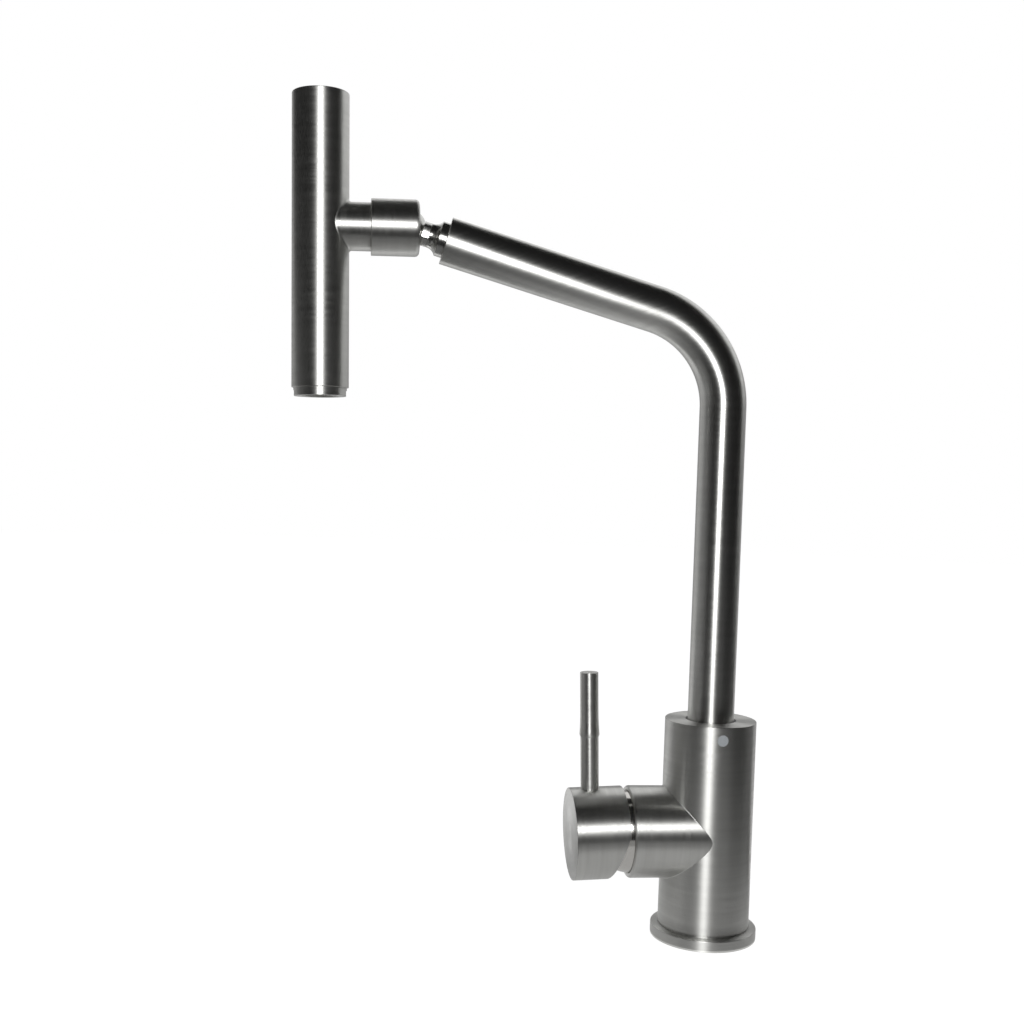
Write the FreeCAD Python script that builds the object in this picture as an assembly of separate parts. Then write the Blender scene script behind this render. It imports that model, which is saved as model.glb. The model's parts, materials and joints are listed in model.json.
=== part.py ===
import FreeCAD, Part
import math
import os

# Single-lever kitchen mixer with a side lever, a swivelling bent spout and a head on a ball joint.
# It stands on the deck at z = 0 with the body's axis on Z. The side barrel and, at rest, the spout
# point towards -X. Lengths are in millimetres and angles in degrees.

# Fits and thread forms
running_fit = 0.05
press_fit = 0.02
loose_fit = 0.2
thread_depth_per_pitch = 1.0825

# Body
body_d = 50.0
body_top = 120.0
body_edge = 0.4
barrel_d = 49.5
barrel_z = 57.5
barrel_end = 45.0
barrel_rim_round = 1.8

# Base ring, its seal and the body's foot
ring_d = 58.0
ring_h = 6.0
ring_chamfer = 0.5
foot_spigot_d = 44.0
foot_spigot_lift = 0.5
relief_h = 1.3
relief_depth = 1.0
base_seal_land = 1.5
base_seal_w = 3.5
base_seal_h = 1.8

# Hose chamber, threaded inlets and stud hole
chamber_d = 40.0
chamber_h = 22.0
inlet_thread_d = 10.0
inlet_pitch = 1.0
inlet_depth = 12.0
inlet_x = 9.0
stud_thread_d = 8.0
stud_pitch = 1.25
stud_depth = 13.0
stud_x = -12.0

# Waterways between the inlets, the cartridge and the spout
port_d = 6.4
port_side = 8.5
port_drop = 4.0
mixed_rise = 8.0
mixed_x = 3.0
mixed_d = 10.0

# Spout tube
tube_d = 25.4
tube_wall = 1.2
bend_radius = 54.0
arm_angle = 14.8
corner_z = 333.2
arm_length = 160.5

# Spout foot and its socket in the body
socket_floor = 86.0
foot_d = 26.2
foot_bore_d = 15.0
foot_shoulder_below_top = 3.2
foot_spigot_length = 10.0
thrust_washer_t = 1.5
bush_wall = 1.1
bush_h = 2.6
bush_recess = 0.4
o_ring_section = 2.4
o_ring_heights = (6.0, 13.0)
o_ring_groove_w = 3.2
glide_height = 19.0
glide_w = 4.0
glide_t = 0.95
glide_split = 1.5

# Grub screw and its plug
grub_d = 6.0
grub_below_top = 7.0
grub_plug_gap = 2.0
grub_tip_d = 4.0
grub_tip_length = 1.9
grub_key = 3.0
grub_key_depth = 3.0
grub_groove_w = 5.0
grub_groove_depth = 1.6
plug_d = 6.1
plug_t = 2.8
plug_recess = 0.06

# Cartridge, with heights along the barrel from the body's axis
cavity_floor = 8.0
cartridge_d = 35.0
housing_wall = 1.9
neck_d = 28.4
neck_wall = 2.0
shoulder_h = 24.0
neck_h = 38.5
foot_flange_t = 3.0
foot_step_t = 2.0
ceramic_t = 4.0
fixed_disc_d = 28.0
moving_disc_d = 22.0
moving_disc_offset = 4.0
mixing_hollow_d = 12.0
carrier_d = 21.0
carrier_t = 5.0
seal_section = 1.5
driver_gap = 0.2
driver_flange_t = 3.8
nut_thread_d = 40.0
nut_h = 6.4
nut_slot_w = 4.0
nut_slot_depth = 2.0
mouth_depth = 3.0

# Spindle and pivot
pivot_along = 43.5
lift_at_rest = 2.4
lift_full = 22.0
pin_d = 3.0
pin_length = 22.0
stem_width = 8.0
tip_d = 4.6
tip_neck_d = 2.6
tip_neck_length = 5.0

# Dome ring
dome_radius = 22.1
dome_wall = 1.2
dome_opening_d = 28.0
dome_skirt_wall = 1.3
dome_skirt_length = 3.0
dome_flange_t = 1.4

# Lever cap, rod and grip
cap_d = 49.5
cap_gap = 2.4
cap_length = 29.1
cap_cavity_clearance = 0.7
cap_cut_angle = 20.0
cap_cut_rise = 4.0
cap_edge = 0.3
socket_end_wall = 2.0
rod_along = 65.5
rod_d = 10.0
rod_grip_start = 53.5
rod_top = 88.5
rod_seat_depth = 3.6
rod_thread_d = 6.0
rod_thread_length = 6.0
grip_d = 10.0
grip_swell = 0.5
grip_swell_length = 14.0
grip_foot_edge = 0.25
grip_foot_length = 1.0
grip_core_d = 6.0
grip_top_wall = 6.0
cap_screw_d = 5.0
cap_screw_length = 7.0
cap_screw_along = 70.5
cap_screw_key = 2.5
cap_screw_key_depth = 2.5

# Arm fitting and ball stem, with lengths from the arm's end
fitting_depth = 16.0
stem_thread_d = 10.0
stem_thread_length = 10.0
collar_d = 18.8
collar_t = 4.0
waist_d = 12.9
waist_at = 8.5
cove_depth = 1.2
hex_width = 12.0
hex_at = 9.1
hex_t = 4.2
stem_neck_d = 10.4
ball_d = 20.8
ball_at = 21.6
stem_bore_d = 6.4
stem_seal_section = 1.8
stem_seal_d = 14.0

# Ball nut and seat, with lengths from the ball's centre along the branch
nut_d = 29.8
nut_front = 6.5
nut_back = 18.9
nut_round = 3.0
nut_lip_at = 4.4
nut_mouth_d = 20.8
nut_cavity_d = 22.2
seat_front = 3.0
seat_back = 11.5
seat_bore_d = 9.0
spring_ring_section = 2.1
spring_ring_d = 17.0
branch_thread_d = 24.0
branch_bore_d = 14.0
branch_plug_length = 6.0

# Head, with heights from the branch's axis
head_lean = 1.6
head_d = 30.0
head_wall = 1.2
head_above = 68.5
head_below = 85.0
head_at = 45.3
weld_round = 1.5
end_cap_t = 2.5

# Aerator
aerator_d = 28.0
aerator_h = 4.5
aerator_flat_depth = 0.45
aerator_flat_h = 3.0
aerator_thread_d = 24.0
aerator_thread_h = 9.0
aerator_bore_d = 21.0
aerator_lip_d = 19.6
aerator_lip_t = 1.2
adapter_h = 12.0
adapter_lip_d = 18.0
jet_d = 1.5
jet_pitch = 2.6
jet_rings = 3
jet_plate_t = 2.0
insert_wall = 1.2
washer_t = 1.8
washer_hole_d = 19.0


def vec(x, y, z):
    return FreeCAD.Vector(x, y, z)


def turned(outline):
    """A solid turned about Z from its half outline of (radius, height) points.

    Where two points stand in place of one, they are an arc's middle and its end.
    """
    edges = []
    here = vec(outline[0][0], 0, outline[0][1])
    for step in outline[1:] + outline[:1]:
        if isinstance(step[0], tuple):
            middle, end = (vec(r, 0, z) for r, z in step)
            edges.append(Part.Arc(here, middle, end).toShape())
        else:
            end = vec(step[0], 0, step[1])
            edges.append(Part.makeLine(here, end))
        here = end
    return Part.Face(Part.Wire(edges)).revolve(vec(0, 0, 0), vec(0, 0, 1), 360)


def disc(diameter, low, high, x=0.0, y=0.0):
    return Part.makeCylinder(diameter / 2, high - low, vec(x, y, low))


def ring(outer_d, inner_d, low, high):
    return disc(outer_d, low, high).cut(disc(inner_d, low - 1, high + 1))


def o_ring(middle_d, section, middle_height, x=0.0, y=0.0):
    return Part.makeTorus(middle_d / 2, section / 2, vec(x, y, middle_height))


def hexagon(width, low, high):
    corners = [math.radians(60 * n) for n in range(7)]
    reach = width / 2 / math.cos(math.radians(30))
    points = [vec(reach * math.cos(c), reach * math.sin(c), low) for c in corners]
    return Part.Face(Part.makePolygon(points)).extrude(vec(0, 0, high - low))


def block(width_x, width_y, low, high, x=0.0, y=0.0):
    return Part.makeBox(width_x, width_y, high - low, vec(x - width_x / 2, y - width_y / 2, low))


def joined(shapes):
    whole = shapes[0].multiFuse(shapes[1:]) if len(shapes) > 1 else shapes[0]
    return whole.removeSplitter()


def tilted(x, z, angle):
    """The place of a frame whose Z axis leans by an angle from vertical towards -X."""
    return FreeCAD.Placement(vec(x, 0, z), FreeCAD.Rotation(vec(0, 1, 0), -angle))


def on_circle(radius, centre_height, angle):
    """The (radius, height) of a point on a circle centred on the axis of a turned outline."""
    turn = math.radians(angle)
    return (radius * math.sin(turn), centre_height + radius * math.cos(turn))


# Places of the sub-assemblies
arm_end_x = -arm_length * math.cos(math.radians(arm_angle))
arm_end_z = corner_z + arm_length * math.sin(math.radians(arm_angle))
ball_x = arm_end_x - ball_at * math.cos(math.radians(arm_angle))
ball_z = arm_end_z + ball_at * math.sin(math.radians(arm_angle))
head_x = ball_x - head_at * math.cos(math.radians(head_lean))
head_z = ball_z - head_at * math.sin(math.radians(head_lean))
in_barrel = tilted(0.0, barrel_z, 90.0)
in_arm = tilted(arm_end_x, arm_end_z, 90.0 - arm_angle)
in_branch = tilted(ball_x, ball_z, 90.0 + head_lean)
in_head = tilted(head_x, head_z, head_lean)
at_pivot = FreeCAD.Placement(vec(0, 0, pivot_along), FreeCAD.Rotation())
lifted = FreeCAD.Placement(vec(0, 0, 0), FreeCAD.Rotation(vec(0, 1, 0), -lift_at_rest))
in_lever = in_barrel.multiply(at_pivot).multiply(lifted).multiply(at_pivot.inverse())

# Heights of the stack inside the cartridge
foot_top = cavity_floor + foot_flange_t + foot_step_t
fixed_top = foot_top + ceramic_t
moving_top = fixed_top + ceramic_t
carrier_top = moving_top + carrier_t
driver_low = carrier_top + driver_gap
driver_step = driver_low + driver_flange_t
shoulder = cavity_floor + shoulder_h
neck_top = cavity_floor + neck_h
housing_bore_d = cartridge_d - 2 * housing_wall
neck_bore_d = neck_d - 2 * neck_wall
tip_along = carrier_top - carrier_t / 2
tip_reach = pivot_along - tip_along
disc_shift = tip_reach * math.sin(math.radians(lift_at_rest))
ports = [(-port_drop, port_side), (-port_drop, -port_side), (mixed_rise, 0.0)]

# The base seal's middle, and the places of the spout's foot and its grub screw
base_seal_d = foot_spigot_d + 2 * base_seal_land + base_seal_w
socket_d = foot_d + 2 * running_fit
foot_low = socket_floor + thrust_washer_t
foot_shoulder = body_top - foot_shoulder_below_top
bush_d = tube_d + 2 * (running_fit + bush_wall)
grub_z = body_top - grub_below_top
plug_back = body_d / 2 - plug_recess - plug_t
tube_bore_d = tube_d - 2 * tube_wall
cap_rear = barrel_end + cap_gap
cap_face = cap_rear + cap_length


def make_body():
    """The body with its side barrel, hollow for the hoses, the water, the cartridge and the spout."""
    relief_top = ring_h + relief_h
    column = turned([
        (0.0, relief_top),
        (body_d / 2, relief_top),
        (body_d / 2, body_top - body_edge),
        (body_d / 2 - body_edge, body_top),
        (0.0, body_top),
    ])
    relief = disc(body_d - 2 * relief_depth, ring_h, relief_top)
    spigot = disc(foot_spigot_d, foot_spigot_lift, ring_h)
    r = barrel_d / 2
    round_mid = barrel_rim_round * (1 - math.sqrt(0.5))
    barrel = turned([
        (0.0, 0.0),
        (r, 0.0),
        (r, barrel_end - barrel_rim_round),
        ((r - round_mid, barrel_end - round_mid), (r - barrel_rim_round, barrel_end)),
        (0.0, barrel_end),
    ])
    barrel.Placement = in_barrel
    solid = joined([column, relief, spigot, barrel])

    mouth = barrel_end - mouth_depth
    cavity = turned([
        (0.0, cavity_floor),
        (cartridge_d / 2 + loose_fit, cavity_floor),
        (cartridge_d / 2 + loose_fit, shoulder - 2 * loose_fit),
        (nut_thread_d / 2, shoulder - 2 * loose_fit),
        (nut_thread_d / 2, mouth),
        (dome_radius + loose_fit, mouth),
        (dome_radius + loose_fit, barrel_end + 1),
        (0.0, barrel_end + 1),
    ])
    cavity.Placement = in_barrel
    socket = joined([
        disc(socket_d, socket_floor, body_top),
        disc(bush_d, body_top - bush_h - bush_recess, body_top + 1),
    ])
    cuts = [cavity, socket, disc(chamber_d, foot_spigot_lift - 1, chamber_h)]
    for side in (-port_side, port_side):
        thread_bore = inlet_thread_d - thread_depth_per_pitch * inlet_pitch
        cuts.append(disc(thread_bore, chamber_h - 1, chamber_h + inlet_depth, inlet_x, side))
        cuts.append(disc(port_d, chamber_h, barrel_z - port_drop, inlet_x, side))
        cuts.append(Part.makeSphere(port_d / 2, vec(inlet_x, side, barrel_z - port_drop)))
    for height, side in ports[:2]:
        start = vec(inlet_x, side, barrel_z + height)
        cuts.append(Part.makeCylinder(port_d / 2, inlet_x + cavity_floor + 1, start, vec(-1, 0, 0)))
    mixed_z = barrel_z + mixed_rise
    start = vec(mixed_x, 0, mixed_z)
    cuts.append(Part.makeCylinder(port_d / 2, mixed_x + cavity_floor + 1, start, vec(-1, 0, 0)))
    cuts.append(disc(mixed_d, mixed_z - port_d / 2, socket_floor + 1, mixed_x))
    stud_bore = stud_thread_d - thread_depth_per_pitch * stud_pitch
    cuts.append(disc(stud_bore, chamber_h - 1, chamber_h + stud_depth, stud_x))
    out = vec(0, -1, 0)
    cuts.append(Part.makeCylinder(grub_d / 2, body_d / 2, vec(0, 0, grub_z), out))
    cuts.append(Part.makeCylinder(plug_d / 2, body_d, vec(0, running_fit - plug_back, grub_z), out))
    for cut in cuts:
        solid = solid.cut(cut)
    return solid


def make_base_ring():
    """The ring that the body stands on, with a groove for its seal."""
    r = ring_d / 2
    inner = foot_spigot_d / 2 + running_fit
    whole = turned([
        (inner, 0.0),
        (r, 0.0),
        (r, ring_h - ring_chamfer),
        (r - ring_chamfer, ring_h),
        (inner, ring_h),
    ])
    outer = base_seal_d + base_seal_w + 2 * press_fit
    return whole.cut(ring(outer, base_seal_d - base_seal_w - 2 * press_fit, -1.0, base_seal_h))


def make_base_seal():
    return ring(base_seal_d + base_seal_w, base_seal_d - base_seal_w, 0.0, base_seal_h)


def make_spout_bush():
    """The dark bush round the tube, pressed into the body's top."""
    top = body_top - bush_recess
    return ring(bush_d - 2 * press_fit, tube_d + 2 * running_fit, top - bush_h, top)


def make_thrust_washer():
    inner = 2 * (mixed_x + mixed_d / 2)
    return ring(socket_d - 2 * loose_fit, inner, socket_floor, foot_low)


def make_spout_grub_screw():
    """The grub screw in the body's side, whose tip stands in the foot's groove."""
    tip = foot_d / 2 - grub_groove_depth + loose_fit
    seat = tip + grub_tip_length
    end = plug_back - grub_plug_gap
    screw = joined([disc(grub_tip_d, tip, seat), disc(grub_d - 2 * press_fit, seat, end)])
    screw = screw.cut(hexagon(grub_key, end - grub_key_depth, end + 1))
    screw.Placement = FreeCAD.Placement(vec(0, 0, grub_z), FreeCAD.Rotation(vec(1, 0, 0), 90))
    return screw


def make_grub_screw_plug():
    """The plug over the grub screw, with its face turned to the body's curve."""
    face = body_d - 2 * plug_recess
    start = vec(0, -plug_back, grub_z)
    plug = Part.makeCylinder(plug_d / 2 - press_fit, 2 * plug_t, start, vec(0, -1, 0))
    return plug.common(disc(face, grub_z - plug_d, grub_z + plug_d))


def seal_ring_set(height):
    middle = port_d + 2 * seal_section
    rings = [o_ring(middle, seal_section, height, h, side) for h, side in ports]
    return Part.makeCompound(rings)


def with_ports(solid, low, high):
    for height, side in ports:
        solid = solid.cut(disc(port_d, low - 1, high + 1, height, side))
    return solid


def make_cartridge_foot():
    """The cartridge's base, with its three ports and a recess for each seal on both faces."""
    flange_top = cavity_floor + foot_flange_t
    step_d = housing_bore_d - 2 * running_fit
    solid = joined([disc(cartridge_d, cavity_floor, flange_top), disc(step_d, flange_top, foot_top)])
    solid = with_ports(solid, cavity_floor, foot_top)
    recess_d = port_d + 3 * seal_section + 2 * running_fit
    depth = seal_section + running_fit
    for height, side in ports:
        solid = solid.cut(disc(recess_d, cavity_floor - 1, cavity_floor + depth, height, side))
        solid = solid.cut(disc(recess_d, foot_top - depth, foot_top + 1, height, side))
    return solid


def make_fixed_disc():
    return with_ports(disc(fixed_disc_d, foot_top, fixed_top), foot_top, fixed_top)


def make_moving_disc():
    """The sliding ceramic disc, with its mixing hollow underneath."""
    middle = disc_shift - moving_disc_offset
    whole = disc(moving_disc_d, fixed_top, moving_top, middle)
    hollow = disc(mixing_hollow_d, fixed_top - 1, fixed_top + ceramic_t / 2, middle)
    return whole.cut(hollow)


def make_disc_carrier():
    """The carrier on the moving disc, with the pocket that the spindle's tip pushes."""
    whole = disc(carrier_d, moving_top, carrier_top, disc_shift - moving_disc_offset)
    return whole.cut(disc(tip_d + 2 * loose_fit, moving_top - 1, carrier_top + 1, disc_shift))


def make_cartridge_housing():
    """The cartridge's shell with the neck that the driver turns in."""
    low = cavity_floor + foot_flange_t
    return turned([
        (housing_bore_d / 2, low),
        (cartridge_d / 2, low),
        (cartridge_d / 2, shoulder),
        (neck_d / 2, shoulder),
        (neck_d / 2, neck_top),
        (neck_bore_d / 2, neck_top),
        (neck_bore_d / 2, driver_step + running_fit),
        (housing_bore_d / 2, driver_step + running_fit),
    ])


def make_cartridge_nut():
    """The threaded ring that clamps the cartridge, with four slots for its key."""
    outer = nut_thread_d - 2 * running_fit
    nut = ring(outer, neck_d + 2 * loose_fit, shoulder, shoulder + nut_h)
    top = shoulder + nut_h
    bar = block(nut_thread_d, nut_slot_w, top - nut_slot_depth, top + 1)
    cross = block(nut_slot_w, nut_thread_d, top - nut_slot_depth, top + 1)
    return nut.cut(bar).cut(cross)


def make_dome_ring():
    """The domed cover in the barrel's mouth, round on the lever's pivot."""
    seat = barrel_end - mouth_depth
    skirt_r = nut_thread_d / 2 - running_fit
    inner_r = dome_radius - dome_wall
    flange_top = seat + dome_flange_t
    outer_angle = math.degrees(math.asin(dome_opening_d / 2 / dome_radius))
    flat = pivot_along + math.sqrt(inner_r ** 2 - (dome_opening_d / 2) ** 2)
    inner_end_angle = math.degrees(math.acos((flange_top - pivot_along) / inner_r))
    inner_angle = math.degrees(math.asin(dome_opening_d / 2 / inner_r))
    return turned([
        (skirt_r - dome_skirt_wall, seat - dome_skirt_length),
        (skirt_r, seat - dome_skirt_length),
        (skirt_r, seat),
        (dome_radius, seat),
        (dome_radius, pivot_along),
        (on_circle(dome_radius, pivot_along, (90 + outer_angle) / 2),
         on_circle(dome_radius, pivot_along, outer_angle)),
        (dome_opening_d / 2, flat),
        (on_circle(inner_r, pivot_along, (inner_angle + inner_end_angle) / 2),
         on_circle(inner_r, pivot_along, inner_end_angle)),
        (skirt_r - dome_skirt_wall, flange_top),
    ])


def make_cartridge_driver():
    """The driver that turns in the housing's neck, slotted for the spindle's swing."""
    swing = math.tan(math.radians(lift_full))
    flange = disc(housing_bore_d - 2 * running_fit, driver_low, driver_step)
    neck = disc(neck_bore_d - 2 * running_fit, driver_step, neck_top)
    solid = joined([flange, neck])
    half = stem_width / 2
    upper = driver_step + (neck_top - driver_step) / 3
    reach_low = (pivot_along - driver_low) * swing + half
    reach_high = (pivot_along - upper) * swing + half + loose_fit
    slot_y = stem_width + 2 * running_fit
    back = half + loose_fit
    lower_slot = block(reach_low + back, slot_y, driver_low - 1, upper, (reach_low - back) / 2)
    upper_slot = block(2 * reach_high, slot_y, upper - 1, neck_top + 1)
    pin = Part.makeCylinder(pin_d / 2 + press_fit, neck_d, vec(0, -neck_d / 2, pivot_along), vec(0, 1, 0))
    return solid.cut(lower_slot).cut(upper_slot).cut(pin)


def make_pivot_pin():
    return Part.makeCylinder(pin_d / 2, pin_length, vec(0, -pin_length / 2, pivot_along), vec(0, 1, 0))


def make_spindle():
    """The spindle: a square stem on the pivot, with a ball tip that pushes the carrier."""
    half = stem_width / 2
    square_low = pivot_along - half
    stem = block(stem_width, stem_width, square_low, cap_face - socket_end_wall - loose_fit)
    neck_top_z = tip_along + tip_neck_length
    arm = turned([
        (0.0, tip_along),
        (tip_neck_d / 2, tip_along),
        (tip_neck_d / 2, neck_top_z),
        (half - loose_fit, square_low),
        (half - loose_fit, square_low + 1),
        (0.0, square_low + 1),
    ])
    tip = Part.makeSphere(tip_d / 2, vec(0, 0, tip_along))
    hole_d = pin_d + 2 * running_fit
    hole = Part.makeCylinder(hole_d / 2, stem_width + 2, vec(0, -half - 1, pivot_along), vec(0, 1, 0))
    return joined([stem, arm, tip]).cut(hole)


def make_lever_cap():
    """The lever's cap: round outside, hollowed as a ball about the pivot, cut back below."""
    r = cap_d / 2
    cap = turned([
        (0.0, cap_rear),
        (r - cap_edge, cap_rear),
        (r, cap_rear + cap_edge),
        (r, cap_face - cap_edge),
        (r - cap_edge, cap_face),
        (0.0, cap_face),
    ])
    cavity = Part.makeSphere(dome_radius + cap_cavity_clearance, vec(0, 0, pivot_along))
    wedge = block(2 * cap_d, 2 * cap_d, -2 * cap_d, 0.0, -cap_d)
    wedge.Placement = FreeCAD.Placement(
        vec(cap_cut_rise, 0, cap_rear), FreeCAD.Rotation(vec(0, 1, 0), cap_cut_angle))
    socket = block(stem_width + 2 * running_fit, stem_width + 2 * running_fit, pivot_along,
                   cap_face - socket_end_wall)
    up = vec(1, 0, 0)
    seat = r - rod_seat_depth
    rod_seat = Part.makeCylinder(rod_d / 2 + running_fit, r, vec(seat, 0, rod_along), up)
    thread = Part.makeCylinder(
        rod_thread_d / 2 + press_fit, r, vec(seat - rod_thread_length, 0, rod_along), up)
    screw_hole = Part.makeCylinder(
        cap_screw_d / 2 + press_fit, r, vec(0, 0, cap_screw_along), vec(-1, 0, 0))
    for cut in (cavity, wedge, socket, rod_seat, thread, screw_hole):
        cap = cap.cut(cut)
    return cap


def upright_on_cap(shape):
    """Turn a piece made upright about Z, from the barrel's axis, into the cap's own frame."""
    shape.Placement = FreeCAD.Placement(vec(0, 0, rod_along), FreeCAD.Rotation(vec(0, 1, 0), 90))
    return shape


def make_lever_rod():
    """The pin lever: a threaded end in the cap, the bare rod, and a core inside the grip."""
    seat = cap_d / 2 - rod_seat_depth
    rod = joined([
        disc(rod_thread_d, seat - rod_thread_length, seat),
        disc(rod_d, seat, rod_grip_start),
        disc(grip_core_d, rod_grip_start, rod_top - grip_top_wall),
    ])
    return upright_on_cap(rod)


def make_lever_grip():
    """The sleeve on the rod's upper part, closed and flat on top, that swells towards its foot."""
    r = grip_d / 2
    widest = rod_grip_start + grip_foot_length
    slim = rod_grip_start + grip_swell_length
    sleeve = turned([
        (0.0, rod_grip_start),
        (r + grip_swell - grip_foot_edge, rod_grip_start),
        (r + grip_swell, widest),
        ((r + grip_swell / 4, (widest + slim) / 2), (r, slim)),
        (r, rod_top),
        (0.0, rod_top),
    ])
    bore_top = rod_top - grip_top_wall + running_fit
    bore = disc(grip_core_d + 2 * press_fit, rod_grip_start - 1, bore_top)
    return upright_on_cap(sleeve.cut(bore))


def make_lever_grub_screw():
    """The grub screw under the cap, against the spindle's flat."""
    tip = stem_width / 2 + running_fit
    end = tip + cap_screw_length
    screw = disc(cap_screw_d, tip, end)
    screw = screw.cut(hexagon(cap_screw_key, end - cap_screw_key_depth, end + 1))
    screw.Placement = FreeCAD.Placement(
        vec(0, 0, cap_screw_along), FreeCAD.Rotation(vec(0, 1, 0), -90))
    return screw


def spout_path():
    """The spout's centre line: up the riser, round the bend and along the arm."""
    turn = math.radians(90.0 - arm_angle)
    tangent = bend_radius * math.tan(turn / 2)
    along = vec(-math.cos(math.radians(arm_angle)), 0, math.sin(math.radians(arm_angle)))
    corner = vec(0, 0, corner_z)
    start = corner - vec(0, 0, tangent)
    end = corner + along * tangent
    centre = start - vec(bend_radius, 0, 0)
    middle = centre + vec(math.cos(turn / 2), 0, math.sin(turn / 2)) * bend_radius
    return [
        Part.makeLine(vec(0, 0, foot_shoulder), start),
        Part.Arc(start, middle, end).toShape(),
        Part.makeLine(end, corner + along * arm_length),
    ]


def pipe(diameter):
    section = Part.Wire(Part.makeCircle(diameter / 2, vec(0, 0, foot_shoulder)))
    return Part.Wire(spout_path()).makePipeShell([section], True, False)


def make_spout_tube():
    return pipe(tube_d).cut(pipe(tube_bore_d))


def make_spout_foot():
    """The turned foot under the tube, grooved for its rings and the grub screw."""
    spigot_top = foot_shoulder + foot_spigot_length
    foot = joined([
        disc(foot_d, foot_low, foot_shoulder),
        disc(tube_bore_d - 2 * press_fit, foot_shoulder, spigot_top),
    ])
    foot = foot.cut(disc(foot_bore_d, foot_low - 1, spigot_top + 1))
    groove_d = foot_d - 2 * o_ring_section
    half = o_ring_groove_w / 2
    for height in o_ring_heights:
        middle = foot_low + height
        foot = foot.cut(ring(2 * foot_d, groove_d, middle - half, middle + half))
    low = foot_low + glide_height
    foot = foot.cut(ring(2 * foot_d, foot_d - 2 * glide_t, low, low + glide_w + 2 * running_fit))
    half = grub_groove_w / 2
    return foot.cut(ring(2 * foot_d, foot_d - 2 * grub_groove_depth, grub_z - half, grub_z + half))


def make_spout_o_rings():
    middle_d = foot_d - o_ring_section
    return Part.makeCompound(
        [o_ring(middle_d, o_ring_section - 2 * press_fit, foot_low + h) for h in o_ring_heights])


def make_glide_ring():
    """The split guide ring in the foot's upper groove."""
    low = foot_low + glide_height + running_fit
    outer = foot_d
    split = block(foot_d, glide_split, low - 1, low + glide_w + 1, foot_d / 2)
    return ring(outer, foot_d - 2 * glide_t + 2 * press_fit, low, low + glide_w).cut(split)


def make_arm_fitting():
    """The plug in the arm's end, threaded for the ball stem, with a groove for its seal."""
    plug = disc(tube_bore_d - 2 * press_fit, -fitting_depth, 0.0)
    plug = plug.cut(disc(stem_thread_d + 2 * running_fit, -fitting_depth - 1, 1.0))
    outer = stem_seal_d + stem_seal_section + 2 * running_fit
    inner = stem_seal_d - stem_seal_section - 2 * running_fit
    return plug.cut(ring(outer, inner, -stem_seal_section - running_fit, 1.0))


def make_stem_seal():
    return o_ring(stem_seal_d, stem_seal_section, -stem_seal_section / 2)


def make_ball_stem():
    """The stem: a threaded shank, the collar, a hollow neck, a hexagon and the ball."""
    across = (waist_d - collar_d) / 2
    along = waist_at - collar_t
    inward = cove_depth / math.hypot(across, along)
    cove_mid = (
        (collar_d + waist_d) / 4 - inward * along,
        (collar_t + waist_at) / 2 + inward * across,
    )
    core = turned([
        (0.0, -stem_thread_length),
        (stem_thread_d / 2, -stem_thread_length),
        (stem_thread_d / 2, 0.0),
        (collar_d / 2, 0.0),
        (collar_d / 2, collar_t),
        (cove_mid, (waist_d / 2, waist_at)),
        (waist_d / 2, hex_at),
        (stem_neck_d / 2, hex_at),
        (stem_neck_d / 2, ball_at),
        (0.0, ball_at),
    ])
    nut = hexagon(hex_width, hex_at, hex_at + hex_t)
    ball = Part.makeSphere(ball_d / 2, vec(0, 0, ball_at))
    bore = disc(stem_bore_d, -stem_thread_length - 1, ball_at + ball_d)
    return joined([core, nut, ball]).cut(bore)


def make_ball_nut():
    """The nut round the ball: a ball seat behind a flared mouth, and a thread at its back."""
    r = nut_d / 2
    seat_r = ball_d / 2 + running_fit
    lip_r = math.sqrt(seat_r ** 2 - nut_lip_at ** 2)
    half = (90.0 + math.degrees(math.acos(-nut_lip_at / seat_r))) / 2
    round_mid = nut_round * (1 - math.sqrt(0.5))
    cavity_end = seat_back + running_fit
    thread_r = branch_thread_d / 2 + running_fit
    return turned([
        (seat_r, 0.0),
        (on_circle(seat_r, 0.0, half), (lip_r, -nut_lip_at)),
        (nut_mouth_d / 2, -nut_front),
        (r - nut_round, -nut_front),
        ((r - round_mid, round_mid - nut_front), (r, nut_round - nut_front)),
        (r, nut_back),
        (thread_r, nut_back),
        (thread_r, cavity_end),
        (nut_cavity_d / 2, cavity_end),
        (nut_cavity_d / 2, 0.0),
    ])


def make_ball_seat():
    """The plastic seat that bears on the ball's back."""
    body = disc(nut_cavity_d - 2 * running_fit, seat_front, seat_back)
    body = body.cut(Part.makeSphere(ball_d / 2 + running_fit, vec(0, 0, 0)))
    return body.cut(disc(seat_bore_d, -1.0, seat_back + 1))


def make_seat_spring_ring():
    return o_ring(spring_ring_d, spring_ring_section, seat_back + spring_ring_section / 2)


def make_branch_spigot():
    """The threaded end of the branch, half inside its tube."""
    low = seat_back + spring_ring_section + running_fit
    spigot = joined([
        disc(branch_thread_d, low, nut_back),
        disc(tube_bore_d - 2 * press_fit, nut_back, nut_back + branch_plug_length),
    ])
    return spigot.cut(disc(branch_bore_d, low - 1, nut_back + branch_plug_length + 1))


def head_cylinder(diameter):
    """The head's upright cylinder in the branch's own frame."""
    start = vec(-head_below, 0, head_at)
    return Part.makeCylinder(diameter / 2, head_below + head_above, start, vec(1, 0, 0))


def make_head_branch():
    """The short tube from the nut to the head, with the rounded weld at the head's wall."""
    tube = disc(tube_d, nut_back, head_at)
    head = head_cylinder(head_d)
    both = tube.fuse(head)
    weld = [edge for edge in both.Edges if isinstance(edge.Curve, Part.BSplineCurve)]
    branch = both.makeFillet(weld_round, weld).cut(head)
    return branch.cut(disc(tube_bore_d, nut_back - 1, head_at))


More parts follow.
